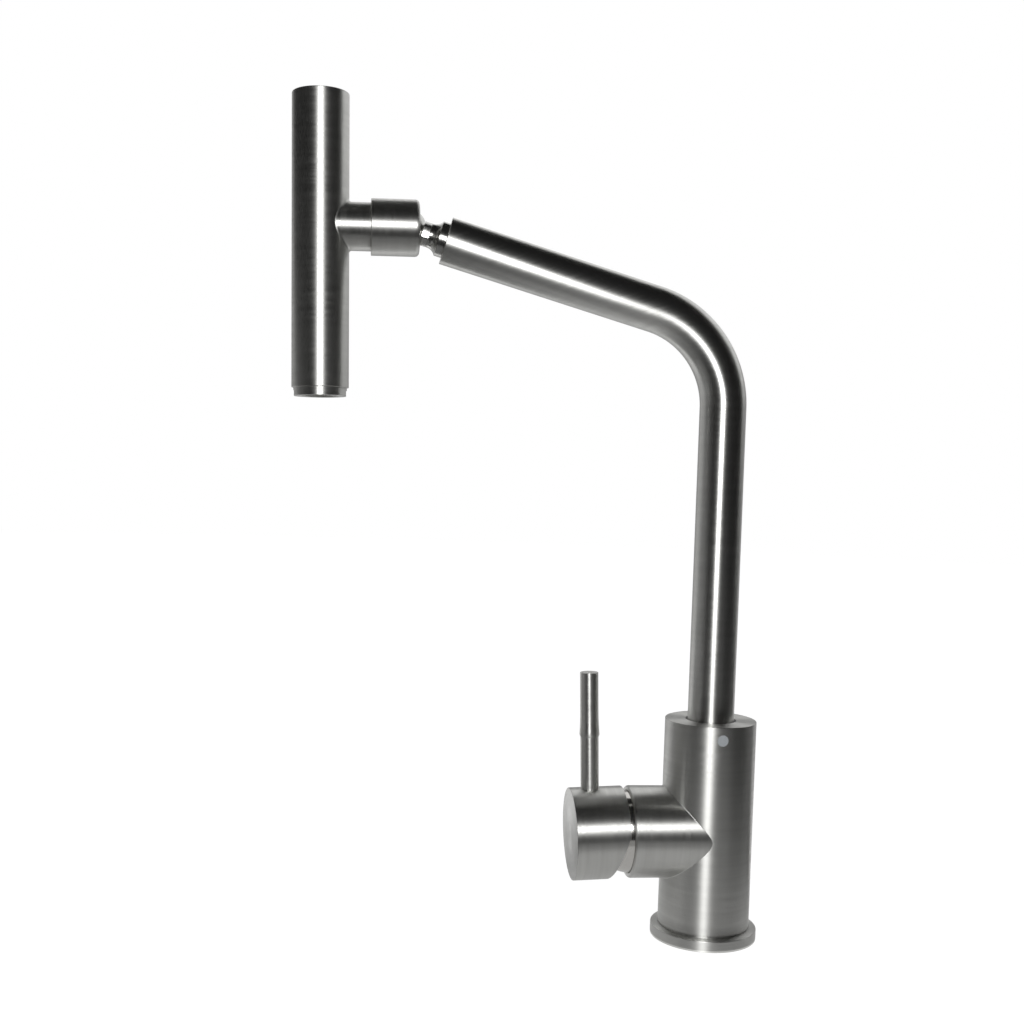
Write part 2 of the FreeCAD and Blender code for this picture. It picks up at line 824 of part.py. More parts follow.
def make_head_tube():
    solid = ring(head_d, head_d - 2 * head_wall, -head_below, head_above)
    inlet = Part.makeCylinder(tube_bore_d / 2, head_d, vec(0, 0, 0), vec(1, 0, 0))
    return solid.cut(inlet)


def make_head_end_cap():
    return disc(head_d - 2 * head_wall - 2 * press_fit, head_above - end_cap_t, head_above)


def make_aerator_adapter():
    """The ring in the head's lower end that the aerator screws into."""
    outer = head_d - 2 * head_wall - 2 * press_fit
    top = -head_below + adapter_h
    washer_top = -head_below + aerator_thread_h + washer_t
    whole = disc(outer, -head_below, top + 1)
    whole = whole.cut(disc(aerator_thread_d + 2 * running_fit, -head_below - 1, washer_top))
    return whole.cut(disc(adapter_lip_d, -head_below, top + 2))


def make_aerator_housing():
    """The aerator's ring: a flange with two spanner flats and a threaded skirt."""
    low = -head_below - aerator_h
    housing = joined([
        disc(aerator_d, low, -head_below),
        disc(aerator_thread_d, -head_below, -head_below + aerator_thread_h),
    ])
    housing = housing.cut(disc(aerator_lip_d, low - 1, low + aerator_lip_t + 1))
    housing = housing.cut(disc(aerator_bore_d, low + aerator_lip_t, 0.0))
    reach = aerator_d / 2 - aerator_flat_depth
    for side in (-1, 1):
        x = side * (reach + aerator_d / 2)
        flat = block(aerator_d, aerator_d, low - 1, low + aerator_flat_h, x)
        housing = housing.cut(flat)
    return housing


def make_aerator_insert():
    """The jet insert: a cup whose floor has rings of small holes."""
    low = -head_below - aerator_h + aerator_lip_t
    top = -head_below + aerator_thread_h
    outer = aerator_bore_d - 2 * running_fit
    cup = disc(outer, low, top).cut(disc(outer - 2 * insert_wall, low + jet_plate_t, top + 1))
    holes = [disc(jet_d, low - 1, low + jet_plate_t + 1)]
    for n in range(1, jet_rings + 1):
        for k in range(6 * n):
            turn = 2 * math.pi * k / (6 * n)
            x = n * jet_pitch * math.cos(turn)
            y = n * jet_pitch * math.sin(turn)
            holes.append(disc(jet_d, low - 1, low + jet_plate_t + 1, x, y))
    return cup.cut(Part.makeCompound(holes))


def make_aerator_washer():
    low = -head_below + aerator_thread_h
    return ring(aerator_thread_d, washer_hole_d, low, low + washer_t)


upright = FreeCAD.Placement()
nodes = [
    ("body", make_body, upright),
    ("base_ring", make_base_ring, upright),
    ("base_seal", make_base_seal, upright),
    ("spout_bush", make_spout_bush, upright),
    ("thrust_washer", make_thrust_washer, upright),
    ("spout_grub_screw", make_spout_grub_screw, upright),
    ("grub_screw_plug", make_grub_screw_plug, upright),
    ("cartridge_foot", make_cartridge_foot, in_barrel),
    ("foot_seals", lambda: seal_ring_set(cavity_floor + seal_section / 2), in_barrel),
    ("disc_seals", lambda: seal_ring_set(foot_top - seal_section / 2), in_barrel),
    ("fixed_disc", make_fixed_disc, in_barrel),
    ("cartridge_housing", make_cartridge_housing, in_barrel),
    ("cartridge_nut", make_cartridge_nut, in_barrel),
    ("dome_ring", make_dome_ring, in_barrel),
    ("cartridge_driver", make_cartridge_driver, in_barrel),
    ("pivot_pin", make_pivot_pin, in_barrel),
    ("moving_disc", make_moving_disc, in_barrel),
    ("disc_carrier", make_disc_carrier, in_barrel),
    ("spindle", make_spindle, in_lever),
    ("lever_cap", make_lever_cap, in_lever),
    ("lever_rod", make_lever_rod, in_lever),
    ("lever_grip", make_lever_grip, in_lever),
    ("lever_grub_screw", make_lever_grub_screw, in_lever),
    ("spout_tube", make_spout_tube, upright),
    ("spout_foot", make_spout_foot, upright),
    ("spout_o_rings", make_spout_o_rings, upright),
    ("glide_ring", make_glide_ring, upright),
    ("arm_fitting", make_arm_fitting, in_arm),
    ("stem_seal", make_stem_seal, in_arm),
    ("ball_stem", make_ball_stem, in_arm),
    ("ball_seat", make_ball_seat, in_branch),
    ("seat_spring_ring", make_seat_spring_ring, in_branch),
    ("ball_nut", make_ball_nut, in_branch),
    ("branch_spigot", make_branch_spigot, in_branch),
    ("head_branch", make_head_branch, in_branch),
    ("head_tube", make_head_tube, in_head),
    ("head_end_cap", make_head_end_cap, in_head),
    ("aerator_adapter", make_aerator_adapter, in_head),
    ("aerator_housing", make_aerator_housing, in_head),
    ("aerator_insert", make_aerator_insert, in_head),
    ("aerator_washer", make_aerator_washer, in_head),
]

os.makedirs("parts", exist_ok=True)
for name, make, place in nodes:
    shape = make()
    shape.Placement = place.multiply(shape.Placement)
    shape.exportStep("parts/" + name + ".step")
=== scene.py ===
# %% [markdown]
# # A single-lever kitchen mixer in brushed stainless steel
#
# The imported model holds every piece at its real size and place. This script gives those pieces
# their finish. What shows from outside is turned again here as fine meshes with small broken
# edges, because a real edge is never perfectly sharp and the thin light line along it is what
# makes steel look like steel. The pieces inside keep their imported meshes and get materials.
# Lengths are in metres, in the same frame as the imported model.

# %% Load the frame
import json
import math

import bpy
import numpy as np
from mathutils import Matrix, Vector
from mathutils.geometry import delaunay_2d_cdt

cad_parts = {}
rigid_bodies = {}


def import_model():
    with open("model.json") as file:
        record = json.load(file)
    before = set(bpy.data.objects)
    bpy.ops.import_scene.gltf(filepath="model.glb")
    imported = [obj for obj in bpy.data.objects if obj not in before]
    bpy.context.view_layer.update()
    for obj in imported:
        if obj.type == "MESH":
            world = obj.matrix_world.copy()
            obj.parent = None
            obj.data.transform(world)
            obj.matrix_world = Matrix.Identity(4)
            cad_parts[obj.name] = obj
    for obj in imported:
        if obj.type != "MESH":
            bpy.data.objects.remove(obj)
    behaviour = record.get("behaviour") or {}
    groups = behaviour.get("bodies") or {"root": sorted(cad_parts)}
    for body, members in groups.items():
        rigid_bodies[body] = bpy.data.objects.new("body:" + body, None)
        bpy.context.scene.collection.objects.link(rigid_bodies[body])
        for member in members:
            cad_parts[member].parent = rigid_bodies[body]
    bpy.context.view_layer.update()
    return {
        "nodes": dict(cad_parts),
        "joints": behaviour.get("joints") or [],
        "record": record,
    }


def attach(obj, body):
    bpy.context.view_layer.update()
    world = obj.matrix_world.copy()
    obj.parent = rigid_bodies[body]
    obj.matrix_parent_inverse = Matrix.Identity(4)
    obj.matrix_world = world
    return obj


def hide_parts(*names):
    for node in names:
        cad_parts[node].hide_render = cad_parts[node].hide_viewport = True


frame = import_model()
MM = 0.001
slots = {subpart["node"]: subpart["material_slot"] for subpart in frame["record"]["subparts"]}

# %% [markdown]
# ## Axes taken from the joints
#
# Every visible piece of a mixer comes off a lathe or is bent tube, so each one has an axis, and
# the moving ones share their axis with a joint. Reading the axes from the joints keeps the fine
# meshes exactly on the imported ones. A piece is made in its own frame, with Z along its axis,
# and then stood in place by that frame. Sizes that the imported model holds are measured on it, in
# the same frame, so that they needn't be written twice.

# %% Frames of the sub-assemblies
joints = {joint["name"]: joint for joint in frame["joints"]}


def standing(origin, along):
    """A frame whose Z axis runs along a piece's axis, and whose Y axis is the model's own."""
    z = Vector(along).normalized()
    y = Vector((0, 1, 0))
    matrix = Matrix((y.cross(z), y, z)).transposed().to_4x4()
    matrix.translation = Vector(origin)
    return matrix


ball_centre = Vector(joints["stem_turn"]["pos_m"])
arm_along = Vector(joints["stem_turn"]["axis"])
branch_along = Vector(joints["head_spin"]["axis"])
barrel_along = Vector(joints["lever_turn"]["axis"])
pivot = Vector(joints["lever_lift"]["pos_m"])
closed_by = math.radians(-joints["lever_lift"]["range_deg"][0])
upright = standing((0, 0, 0), (0, 0, 1))
in_barrel = standing((0, 0, pivot.z), barrel_along)
in_branch = standing(ball_centre, branch_along)
lever_along = Matrix.Rotation(-closed_by, 3, "Y") @ -barrel_along
in_lever = standing(pivot, -lever_along)
print("the lever at rest is lifted by", round(math.degrees(closed_by), 2), "degrees")


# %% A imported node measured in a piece's own frame
def extent(node, place):
    """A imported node's radius in that frame, and its lower and upper ends along the axis."""
    mesh = frame["nodes"][node].data
    points = np.empty(len(mesh.vertices) * 3, np.float32)
    mesh.vertices.foreach_get("co", points)
    to_local = np.array(place.inverted())
    local = points.reshape(-1, 3) @ to_local[:3, :3].T + to_local[:3, 3]
    return local[:, 1].max().item(), local[:, 2].min().item(), local[:, 2].max().item()


_, near_side, far_side = extent("head_tube", in_branch)
head_at = (near_side + far_side) / 2
head_along = in_branch.to_3x3() @ Vector((1, 0, 0))
in_head = standing(ball_centre + branch_along * head_at, head_along)
print("the head's axis is", round(head_at / MM, 2), "mm from the ball")

# %% [markdown]
# ## Colours and nodes
#
# Colours are written as sRGB hex, as a picture shows them, and turned to linear values once.
# A node tree is built with a single helper that adds a node, sets its values and links its
# inputs, so that a material reads from top to bottom like a recipe.


# %% Colour and node helpers
def linear(hex_colour):
    """An sRGB hex colour as linear red, green, blue and alpha."""
    channels = [int(hex_colour[i:i + 2], 16) / 255 for i in (1, 3, 5)]
    return [c / 12.92 if c <= 0.04045 else ((c + 0.055) / 1.055) ** 2.4 for c in channels] + [1.0]


def add(tree, kind, inputs=None, **settings):
    """Adds a node, sets its own settings, and fills or links its inputs by name or number."""
    made = tree.nodes.new("ShaderNode" + kind)
    for name, value in settings.items():
        setattr(made, name, value)
    for name, value in (inputs or {}).items():
        if isinstance(value, bpy.types.NodeSocket):
            tree.links.new(value, made.inputs[name])
        else:
            made.inputs[name].default_value = value
    return made


def new_material(name):
    """A material with an empty node tree."""
    material = bpy.data.materials.new(name)
    material.use_nodes = True
    material.node_tree.nodes.clear()
    return material, material.node_tree


def finish_with(tree, shader):
    """Links a shader to the material's output."""
    add(tree, "OutputMaterial", {"Surface": shader.outputs[0]})


def placed(name, data):
    """A new object in the scene, for a mesh, a lamp or a camera."""
    made = bpy.data.objects.new(name, data)
    bpy.context.scene.collection.objects.link(made)
    return made


print("the middle grey #808080 is", round(linear("#808080")[0], 3), "in linear light")


# %% [markdown]
# ## Brushed stainless steel
#
# Turned stainless steel is finished on the lathe with an abrasive belt or a non-woven pad. The
# scratches run round the piece, so light spreads strongly along its axis and hardly at all
# round it. That is why a small lamp draws one long bright line down the whole tube. The shader
# does the same with an anisotropic highlight: its tangent runs round the piece, from a UV map
# that counts turns across and millimetres along, and is turned by a quarter so that the
# highlight stretches across the scratches. Real scratches are about 0.02 mm wide, too fine to
# show, so they are drawn about 0.3 mm apart. The belt also leaves wider bands of more and of
# less gloss, about 1.2 mm apart, which fray the highlight's edges, and clouds of a slightly
# darker or lighter grey some 5 mm wide, where it pressed more or less.

# %% How brushed steel is made
STEEL = "#c8c8c5"
SCRATCH_PITCH = 0.3
BAND_PITCH = 1.2
CLOUD_PITCH = 5.0
GLOSS_CHANGE = 0.16
SCRATCH_TURN = 2.0
QUARTER_TURN = 0.25
UV_TURNS = "turning"


def round_the_piece(tree, pitch):
    """Coordinates for marks that run round a piece: a noise vector from turns and millimetres."""
    uv = add(tree, "UVMap", uv_map=UV_TURNS)
    apart = add(tree, "SeparateXYZ", {"Vector": uv.outputs["UV"]})
    angle = add(tree, "Math", {0: apart.outputs["X"], 1: math.tau}, operation="MULTIPLY")
    made = []
    for wave in ("COSINE", "SINE"):
        turn = add(tree, "Math", {0: angle.outputs[0]}, operation=wave)
        made.append(add(tree, "Math", {0: turn.outputs[0], 1: SCRATCH_TURN}, operation="MULTIPLY"))
    made.append(add(tree, "Math", {0: apart.outputs["Y"], 1: pitch}, operation="DIVIDE"))
    return add(tree, "CombineXYZ", {n: node.outputs[0] for n, node in enumerate(made)}).outputs[0]


def brushed_steel(name, roughness, stretch, bump):
    """Stainless steel brushed round its axis, rougher or finer, with a stretched highlight."""
    material, tree = new_material(name)
    place = round_the_piece(tree, SCRATCH_PITCH)
    scratch = add(tree, "TexNoise", {"Vector": place, "Scale": 1.0, "Detail": 4.0, "Roughness": 0.65})
    band = add(tree, "TexNoise", {"Vector": place, "Scale": SCRATCH_PITCH / BAND_PITCH, "Detail": 3.0})
    cloud = add(tree, "TexNoise", {"Vector": place, "Scale": SCRATCH_PITCH / CLOUD_PITCH, "Detail": 2.0})
    marks = add(tree, "Math", {0: scratch.outputs[0], 1: band.outputs[0]}, operation="ADD")
    rough = add(tree, "MapRange", {"Value": marks.outputs[0], "From Min": 0.7, "From Max": 1.3,
                                   "To Min": roughness * (1 - GLOSS_CHANGE),
                                   "To Max": roughness * (1 + GLOSS_CHANGE)})
    tint = add(tree, "MapRange", {"Value": cloud.outputs[0], "From Min": 0.3, "From Max": 0.7,
                                  "To Min": 0.95, "To Max": 1.03})
    colour = add(tree, "VectorMath", {0: linear(STEEL)[:3], 1: tint.outputs[0]}, operation="MULTIPLY")
    height = add(tree, "Bump", {"Height": scratch.outputs[0], "Strength": bump, "Distance": 0.02 * MM})
    tangent = add(tree, "Tangent", direction_type="UV_MAP", uv_map=UV_TURNS)
    shader = add(tree, "BsdfPrincipled", {
        "Base Color": colour.outputs[0], "Metallic": 1.0, "Roughness": rough.outputs[0],
        "Normal": height.outputs[0], "Tangent": tangent.outputs[0],
        "Anisotropic": stretch, "Anisotropic Rotation": QUARTER_TURN})
    finish_with(tree, shader)
    return material


print("scratches are", SCRATCH_PITCH, "mm apart, bands", BAND_PITCH, "mm and clouds", CLOUD_PITCH, "mm")

# %% The brushed steels
# A belt leaves the bent tube with a narrow, hard-edged line of light.
tube_steel = brushed_steel("tube_steel_belt_polished", 0.37, 0.87, 0.15)
# A coarser pad on the body and the head spreads it to a soft, broad band.
body_steel = brushed_steel("body_steel_brushed", 0.44, 0.90, 0.3)
head_steel = brushed_steel("head_steel_satin", 0.44, 0.80, 0.25)
# The small turned pieces are smoother, and the stem is nearly bright from tumbling.
rod_steel = brushed_steel("rod_steel_turned", 0.38, 0.76, 0.2)
stem_steel = brushed_steel("stem_steel_turned_bright", 0.24, 0.5, 0.02)
# The cap's face was turned with a flat tool, so its light opens like a bow from the centre.
face_steel = brushed_steel("face_steel_satin", 0.34, 0.30, 0.2)
steels = (tube_steel, body_steel, head_steel, rod_steel, stem_steel, face_steel)
print("brushed steels:", [steel.name for steel in steels])

# %% [markdown]
# ## The other finishes
#
# The dome behind the lever is polished bright, which is the same steel with a low, even
# roughness, so it mirrors the rims beside it. The bush round the tube is black acetal, and the
# plug over the fixing screw is grey acetal with the soft sheen of a moulded part. The brass plug
# in the arm's end is nickel-plated, because its face shows round the ball stem: a warmer, duller
# grey than steel. Inside there are turned brass with its yellow gloss, white acetal, alumina
# ceramic lapped smooth and matt black rubber, which only show when the mixer is taken apart.


# %% Polished, moulded, cast and ceramic finishes
def even_finish(name, colour, metallic, roughness, grain_mm, depth_mm, vary=0.05):
    """A finish with no direction: a fine grain in the surface and a little change of gloss."""
    material, tree = new_material(name)
    place = add(tree, "TexCoord").outputs["Object"]
    grain = add(tree, "TexNoise", {"Vector": place, "Scale": 1 / (grain_mm * MM), "Detail": 3.0})
    rough = add(tree, "MapRange", {"Value": grain.outputs[0], "From Min": 0.3, "From Max": 0.7,
                                   "To Min": roughness - vary, "To Max": roughness + vary})
    tone = add(tree, "MapRange", {"Value": grain.outputs[0], "From Min": 0.3, "From Max": 0.7,
                                  "To Min": 0.94, "To Max": 1.04})
    tinted = add(tree, "VectorMath", {0: linear(colour)[:3], 1: tone.outputs[0]}, operation="MULTIPLY")
    height = add(tree, "Bump", {"Height": grain.outputs[0], "Strength": 0.3, "Distance": depth_mm * MM})
    shader = add(tree, "BsdfPrincipled", {
        "Base Color": tinted.outputs[0], "Metallic": metallic, "Roughness": rough.outputs[0],
        "Normal": height.outputs[0]})
    finish_with(tree, shader)
    return material


polished_steel = even_finish("polished_stainless", "#c9c7c3", 1.0, 0.14, 0.6, 0.0004, 0.02)
screw_steel = even_finish("screw_steel_turned", "#b4b2ae", 1.0, 0.32, 0.5, 0.01)
brass = even_finish("brass_turned", "#d9b777", 1.0, 0.3, 0.5, 0.01)
nickel_plate = even_finish("brass_nickel_plated", "#b4b2ae", 1.0, 0.28, 0.5, 0.005)
black_acetal = even_finish("black_acetal_moulded", "#1b1c1e", 0.0, 0.45, 0.4, 0.01)
grey_acetal = even_finish("grey_acetal_moulded", "#83878a", 0.0, 0.5, 0.5, 0.01)
white_acetal = even_finish("white_acetal_moulded", "#e4e4e0", 0.0, 0.42, 0.5, 0.01)
ceramic = even_finish("alumina_ceramic_lapped", "#f1efe9", 0.0, 0.22, 0.3, 0.003)
rubber = even_finish("nitrile_rubber_moulded", "#18181a", 0.0, 0.65, 0.3, 0.01)
print("materials so far:", len(bpy.data.materials))

# %% [markdown]
# ## Turning a piece
#
# A lathe piece is an outline carried round an axis. Modelling it so, rather than with a
# cylinder and a bevel, gives exact normals, a UV map in turns and millimetres, and edge rounds
# of the real size. An outline is a list of (radius, height, rounding), with the material on
# its left as it runs, and each of its corners becomes a small arc.

# %% Outlines with rounded corners
ROUND_STEPS = 4


def rounded(outline, closed=True):
    """The outline's points with each corner replaced by an arc of its own radius."""
    points = []
    count = len(outline)
    for n, (r, z, size) in enumerate(outline):
        corner = np.array((r, z))
        if size <= 0 or (not closed and n in (0, count - 1)):
            points.append(corner)
            continue
        before = np.array(outline[n - 1][:2]) - corner
        after = np.array(outline[(n + 1) % count][:2]) - corner
        reach = min(np.linalg.norm(before), np.linalg.norm(after)) * 0.49
        before = before / np.linalg.norm(before)
        after = after / np.linalg.norm(after)
        half = math.acos(max(-1.0, min(1.0, float(before @ after)))) / 2
        cut = min(size / math.tan(half), reach)
        radius = cut * math.tan(half)
        middle = (before + after) / np.linalg.norm(before + after)
        centre = corner + middle * radius / math.sin(half)
        start = corner + before * cut - centre
        end = corner + after * cut - centre
        whole = math.acos(max(-1.0, min(1.0, float(start @ end) / radius ** 2)))
        for step in range(ROUND_STEPS + 1):
            share = step / ROUND_STEPS
            blend = start * math.sin((1 - share) * whole) + end * math.sin(share * whole)
            points.append(centre + blend / math.sin(whole))
    return points


def arc(centre_z, radius, first, last, steps=10):
    """Points of an arc about a centre on the axis, by the angle from the axis in degrees."""
    turns = np.radians(np.linspace(first, last, steps))
    return [(radius * math.sin(t), centre_z + radius * math.cos(t), 0.0) for t in turns]


print("a square corner becomes", len(rounded([(1, 0, 0), (1, 1, 0.1), (0, 1, 0)], False)) - 2, "points")

# %% [markdown]
# ## Patches and the mesh builder
#
# Carried round the axis, each outline point becomes a row of points, and the rows together are
# a grid, here called a patch. The same kind of grid makes the bent tube and the saddle where
# one pipe meets another, so one builder serves every piece. It takes the normals across each
# point's neighbours in the grid instead of leaving them to automatic smoothing, so that long
# faces stay flat right up to their rounded edges. Patches that touch share their points.

# %% Grids with normals and a UV map
SIDES = 128
POLE_SIZE, SMALLEST = 1e-14, 1e-20
EVEN_TURN = np.arange(SIDES) * math.tau / SIDES
COS, SIN = np.cos(EVEN_TURN), np.sin(EVEN_TURN)


def circle_rows(points, angles):
    """A grid of points: one row for each outline point, carried round the Z axis."""
    points = np.array(points)
    rows = np.empty((len(points), len(angles), 3))
    rows[:, :, 0] = points[:, 0:1] * np.cos(angles)
    rows[:, :, 1] = points[:, 0:1] * np.sin(angles)
    rows[:, :, 2] = points[:, 1:2]
    return rows


def patch(rows, closed_round=True, closed_along=False, level_row=0):
    """A grid with its normals, taken across its neighbours, so that long faces stay flat.

    Its UV map counts turns across, and millimetres down each column from the level row.
    """
    around, along = (np.roll(rows, -1, axis) - np.roll(rows, 1, axis) if closed
                     else np.gradient(rows, axis=axis)
                     for axis, closed in ((1, closed_round), (0, closed_along)))
    normals = np.cross(around, along)
    size = np.linalg.norm(normals, axis=2, keepdims=True)
    pole = size[:, :, 0].max(1) < POLE_SIZE
    normals = normals / np.maximum(size, SMALLEST)
    for n in np.flatnonzero(pole):
        normals[n] = normals[n + 1 if n == 0 else n - 1].mean(0)
    wrapped = np.concatenate([rows, rows[:1]]) if closed_along else rows
    wrapped = np.concatenate([wrapped, wrapped[:, :1]], 1) if closed_round else wrapped
    count, sides = wrapped.shape[:2]
    steps = np.linalg.norm(np.diff(wrapped, axis=0), axis=2) / MM
    down = np.concatenate([np.zeros((1, sides)), np.cumsum(steps, 0)])
    down = down - down[level_row]
    across = np.broadcast_to(np.arange(sides) / (sides - 1), down.shape)
    return {"rows": rows, "normals": normals, "round": closed_round, "along": closed_along,
            "uv": np.stack([across, down], 2), "skip": set(), "second_from": len(rows)}


print("a turned row has", SIDES, "points")


# %% The mesh builder
SAME_POINT = 1e-8


def build(node, patches, place, materials, body):
    """Joins patches to one mesh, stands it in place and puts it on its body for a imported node.

    A patch takes the first material, and the second one from its row "second_from" on.
    """
    name = "finished_" + node
    index, points, faces, normals, uvs, finishes = {}, [], [], [], [], []
    for item in patches:
        rows = item["rows"]
        count, sides = rows.shape[:2]
        keys = np.round(rows / SAME_POINT).astype(np.int64)
        number = np.empty((count, sides), int)
        for spot in np.ndindex(count, sides):
            key = tuple(keys[spot])
            if key not in index:
                index[key] = len(points)
                points.append(rows[spot])
            number[spot] = index[key]
        for i, j in np.ndindex(count - (not item["along"]), sides - (not item["round"])):
            corners = {}
            for row, side in ((i, j), (i, j + 1), (i + 1, j + 1), (i + 1, j)):
                corners.setdefault(int(number[row % count, side % sides]), (row, side))
            if len(corners) < 3 or (i, j) in item["skip"]:
                continue
            faces.append(list(corners))
            finishes.append(int(i >= item["second_from"]))
            for row, side in corners.values():
                normals.append(item["normals"][row % count, side % sides])
                uvs.append(item["uv"][row, side])
        for face in item.get("triangles", ()):
            faces.append([number[0, side] for side in face])
            finishes.append(0)
            normals += [item["normals"][0, side] for side in face]
            uvs += [item["uv"][0, side] for side in face]
    mesh = bpy.data.meshes.new(name)
    mesh.from_pydata([tuple(p) for p in points], [], faces)
    layer = mesh.uv_layers.new(name=UV_TURNS)
    layer.data.foreach_set("uv", np.array(uvs, np.float32).ravel())
    mesh.polygons.foreach_set("use_smooth", [True] * len(faces))
    for material in materials:
        mesh.materials.append(material)
    mesh.polygons.foreach_set("material_index", finishes)
    mesh.normals_split_custom_set([tuple(n) for n in normals])
    piece = placed(name, mesh)
    piece.matrix_world = place
    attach(piece, body)
    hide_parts(node)
    print(name, "faces:", len(faces))


print("points within", SAME_POINT, "m of each other become one")


# %% [markdown]
# ## The base ring and the dark bush
#
# The body stands on a flat ring with a groove for its seal underneath, and a dark bush closes
# the gap between the body's top and the swivelling tube. Both come off a lathe, the ring from
# bar and the bush from a plastic rod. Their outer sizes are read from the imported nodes, so only
# the bores and the edge rounds are chosen here: a deburred edge, and a hair for inner corners.

# %% Base ring
EDGE = 0.25 * MM
HAIR = 0.1 * MM


def turned(node, outline, place, material, body):
    """A piece turned from a closed outline. A solid piece's outline starts and ends on the axis."""
    points = rounded(outline)
    hollow = min(r for r, z in points) > 0
    build(node, [patch(circle_rows(points, EVEN_TURN), True, hollow)], place, [material], body)


spigot_r = 22.0 * MM
seal_groove_in, seal_groove_out, seal_groove_depth = 23.48 * MM, 27.02 * MM, 1.8 * MM
ring_r, _, ring_top = extent("base_ring", upright)
turned("base_ring", [
    (ring_r, 0.0, EDGE),
    (ring_r, ring_top, 2 * EDGE),
    (spigot_r + HAIR / 2, ring_top, HAIR),
    (spigot_r + HAIR / 2, 0.0, HAIR),
    (seal_groove_in, 0.0, HAIR),
    (seal_groove_in, seal_groove_depth, HAIR),
    (seal_groove_out, seal_groove_depth, HAIR),
    (seal_groove_out, 0.0, HAIR),
], upright, body_steel, "root")

# %% Bush round the tube
bush_r, bush_bottom, bush_top = extent("spout_bush", upright)
tube_r, tube_bottom, _ = extent("spout_tube", upright)
turned("spout_bush", [
    (bush_r, bush_bottom, HAIR),
    (bush_r, bush_top, HAIR),
    (tube_r + HAIR / 2, bush_top, HAIR),
    (tube_r + HAIR / 2, bush_bottom, HAIR),
], upright, black_acetal, "root")

# %% [markdown]
# ## Where one pipe meets another
#
# The barrel is welded into the column, and the short branch into the head. The curve where
# they meet is a saddle: each point of the branch's circle slides back until it touches the
# main pipe. The weld is dressed to a fillet, so each saddle point is moved a little along both
# walls, and rows of points run over the corner between them. How far it moves follows from
# the angle between the two walls, which is square on top and nearly flat at the sides. A
# boolean would give the same line, but with thin faces that spoil the brushed highlight.

# %% Saddle and its fillet
SADDLE_STEPS = 6


def across_pipe(points, first, second, radius):
    """Points moved back onto a pipe, along the two directions across its axis."""
    out = points.copy()
    scale = radius / np.hypot(points[:, first], points[:, second])
    out[:, first] *= scale
    out[:, second] *= scale
    return out


def saddle(branch_r, main_r):
    """The curve on which a branch along Z meets a main pipe along X."""
    return np.stack([branch_r * COS, branch_r * SIN,
                     np.sqrt(main_r ** 2 - (branch_r * SIN) ** 2)], 1)


def saddle_fillet(branch_r, main_r, weld_r):
    """Rows from a main pipe along X, over the weld, to a branch along Z."""
    zero = np.zeros(SIDES)
    edge = saddle(branch_r, main_r)
    branch_out = np.stack([COS, SIN, zero], 1)
    main_out = np.stack([zero, edge[:, 1], edge[:, 2]], 1) / main_r
    run = np.cross(branch_out, main_out)
    run /= np.linalg.norm(run, axis=1, keepdims=True)
    away_main = np.cross(run, main_out)
    away_main *= np.sign((away_main * branch_out).sum(1, keepdims=True))
    away_branch = np.cross(run, branch_out)
    away_branch *= np.sign((away_branch * main_out).sum(1, keepdims=True))
    between = np.arccos(np.clip((branch_out * main_out).sum(1, keepdims=True), -1, 1))
    reach = weld_r * np.tan(between / 2)
    on_main = across_pipe(edge + reach * away_main, 1, 2, main_r)
    on_branch = across_pipe(edge + reach * away_branch, 0, 1, branch_r)
    share = np.linspace(0, 1, SADDLE_STEPS)[:, None, None]
    return (1 - share) ** 2 * on_main + 2 * share * (1 - share) * edge + share ** 2 * on_branch


print("a weld has", SADDLE_STEPS, "rows of", SIDES, "points")


# %% Weld and branch in one patch
def branch_patch(branch_r, main_r, weld_r, outline, inner_rows=()):
    """The weld and the branch beyond it, up to its end and back down its bore.

    Inner rows lead from the bore back under the weld, where the branch is a piece of its own.
    """
    weld_rows = saddle_fillet(branch_r, main_r, weld_r)
    rows = np.array([*weld_rows, *circle_rows(outline, EVEN_TURN), *inner_rows])
    closed = len(inner_rows) > 0
    item = patch(rows, True, closed, SADDLE_STEPS if closed else -1)
    foot = rows[0] * (0, 1, 1)
    item["normals"][0] = foot / np.linalg.norm(foot, axis=1, keepdims=True)
    return item


# %% [markdown]
# ## The body
#
# The body is a column with a side barrel of nearly the same diameter for the cartridge, welded
# from thick tube and turned. Inside are the spout's socket, the hose chamber and the
# cartridge's bore. A fine groove parts the body from its base ring. Its mesh is put together
# from patches that share their points, and all of them are laid out in the barrel's frame.

# %% Sizes of the body
column_r, _, body_top = extent("body", upright)
barrel_height = pivot.z
barrel_end = extent("body", in_barrel)[2]
barrel_r = 24.75 * MM
rim_round, weld_r, weld_clear = 1.8 * MM, 0.5 * MM, 12 * MM
groove_high, groove_r = ring_top + 1.3 * MM, column_r - 1.0 * MM
spigot_bottom = 0.5 * MM
chamber_r, chamber_top = 20.0 * MM, 22.0 * MM
socket_r, socket_floor = 13.15 * MM, 86.0 * MM
bush_seat = bush_bottom
mouth_r, mouth_floor = 22.3 * MM, barrel_end - 3.0 * MM
thread_r, thread_floor = 20.0 * MM, 31.6 * MM
cartridge_r, cartridge_floor = 17.7 * MM, 8.0 * MM
wall_low, wall_high = groove_high + EDGE, body_top - 1.5 * EDGE
print("body:", round(column_r * 2 / MM, 1), "mm across,", round(body_top / MM, 1), "mm high")

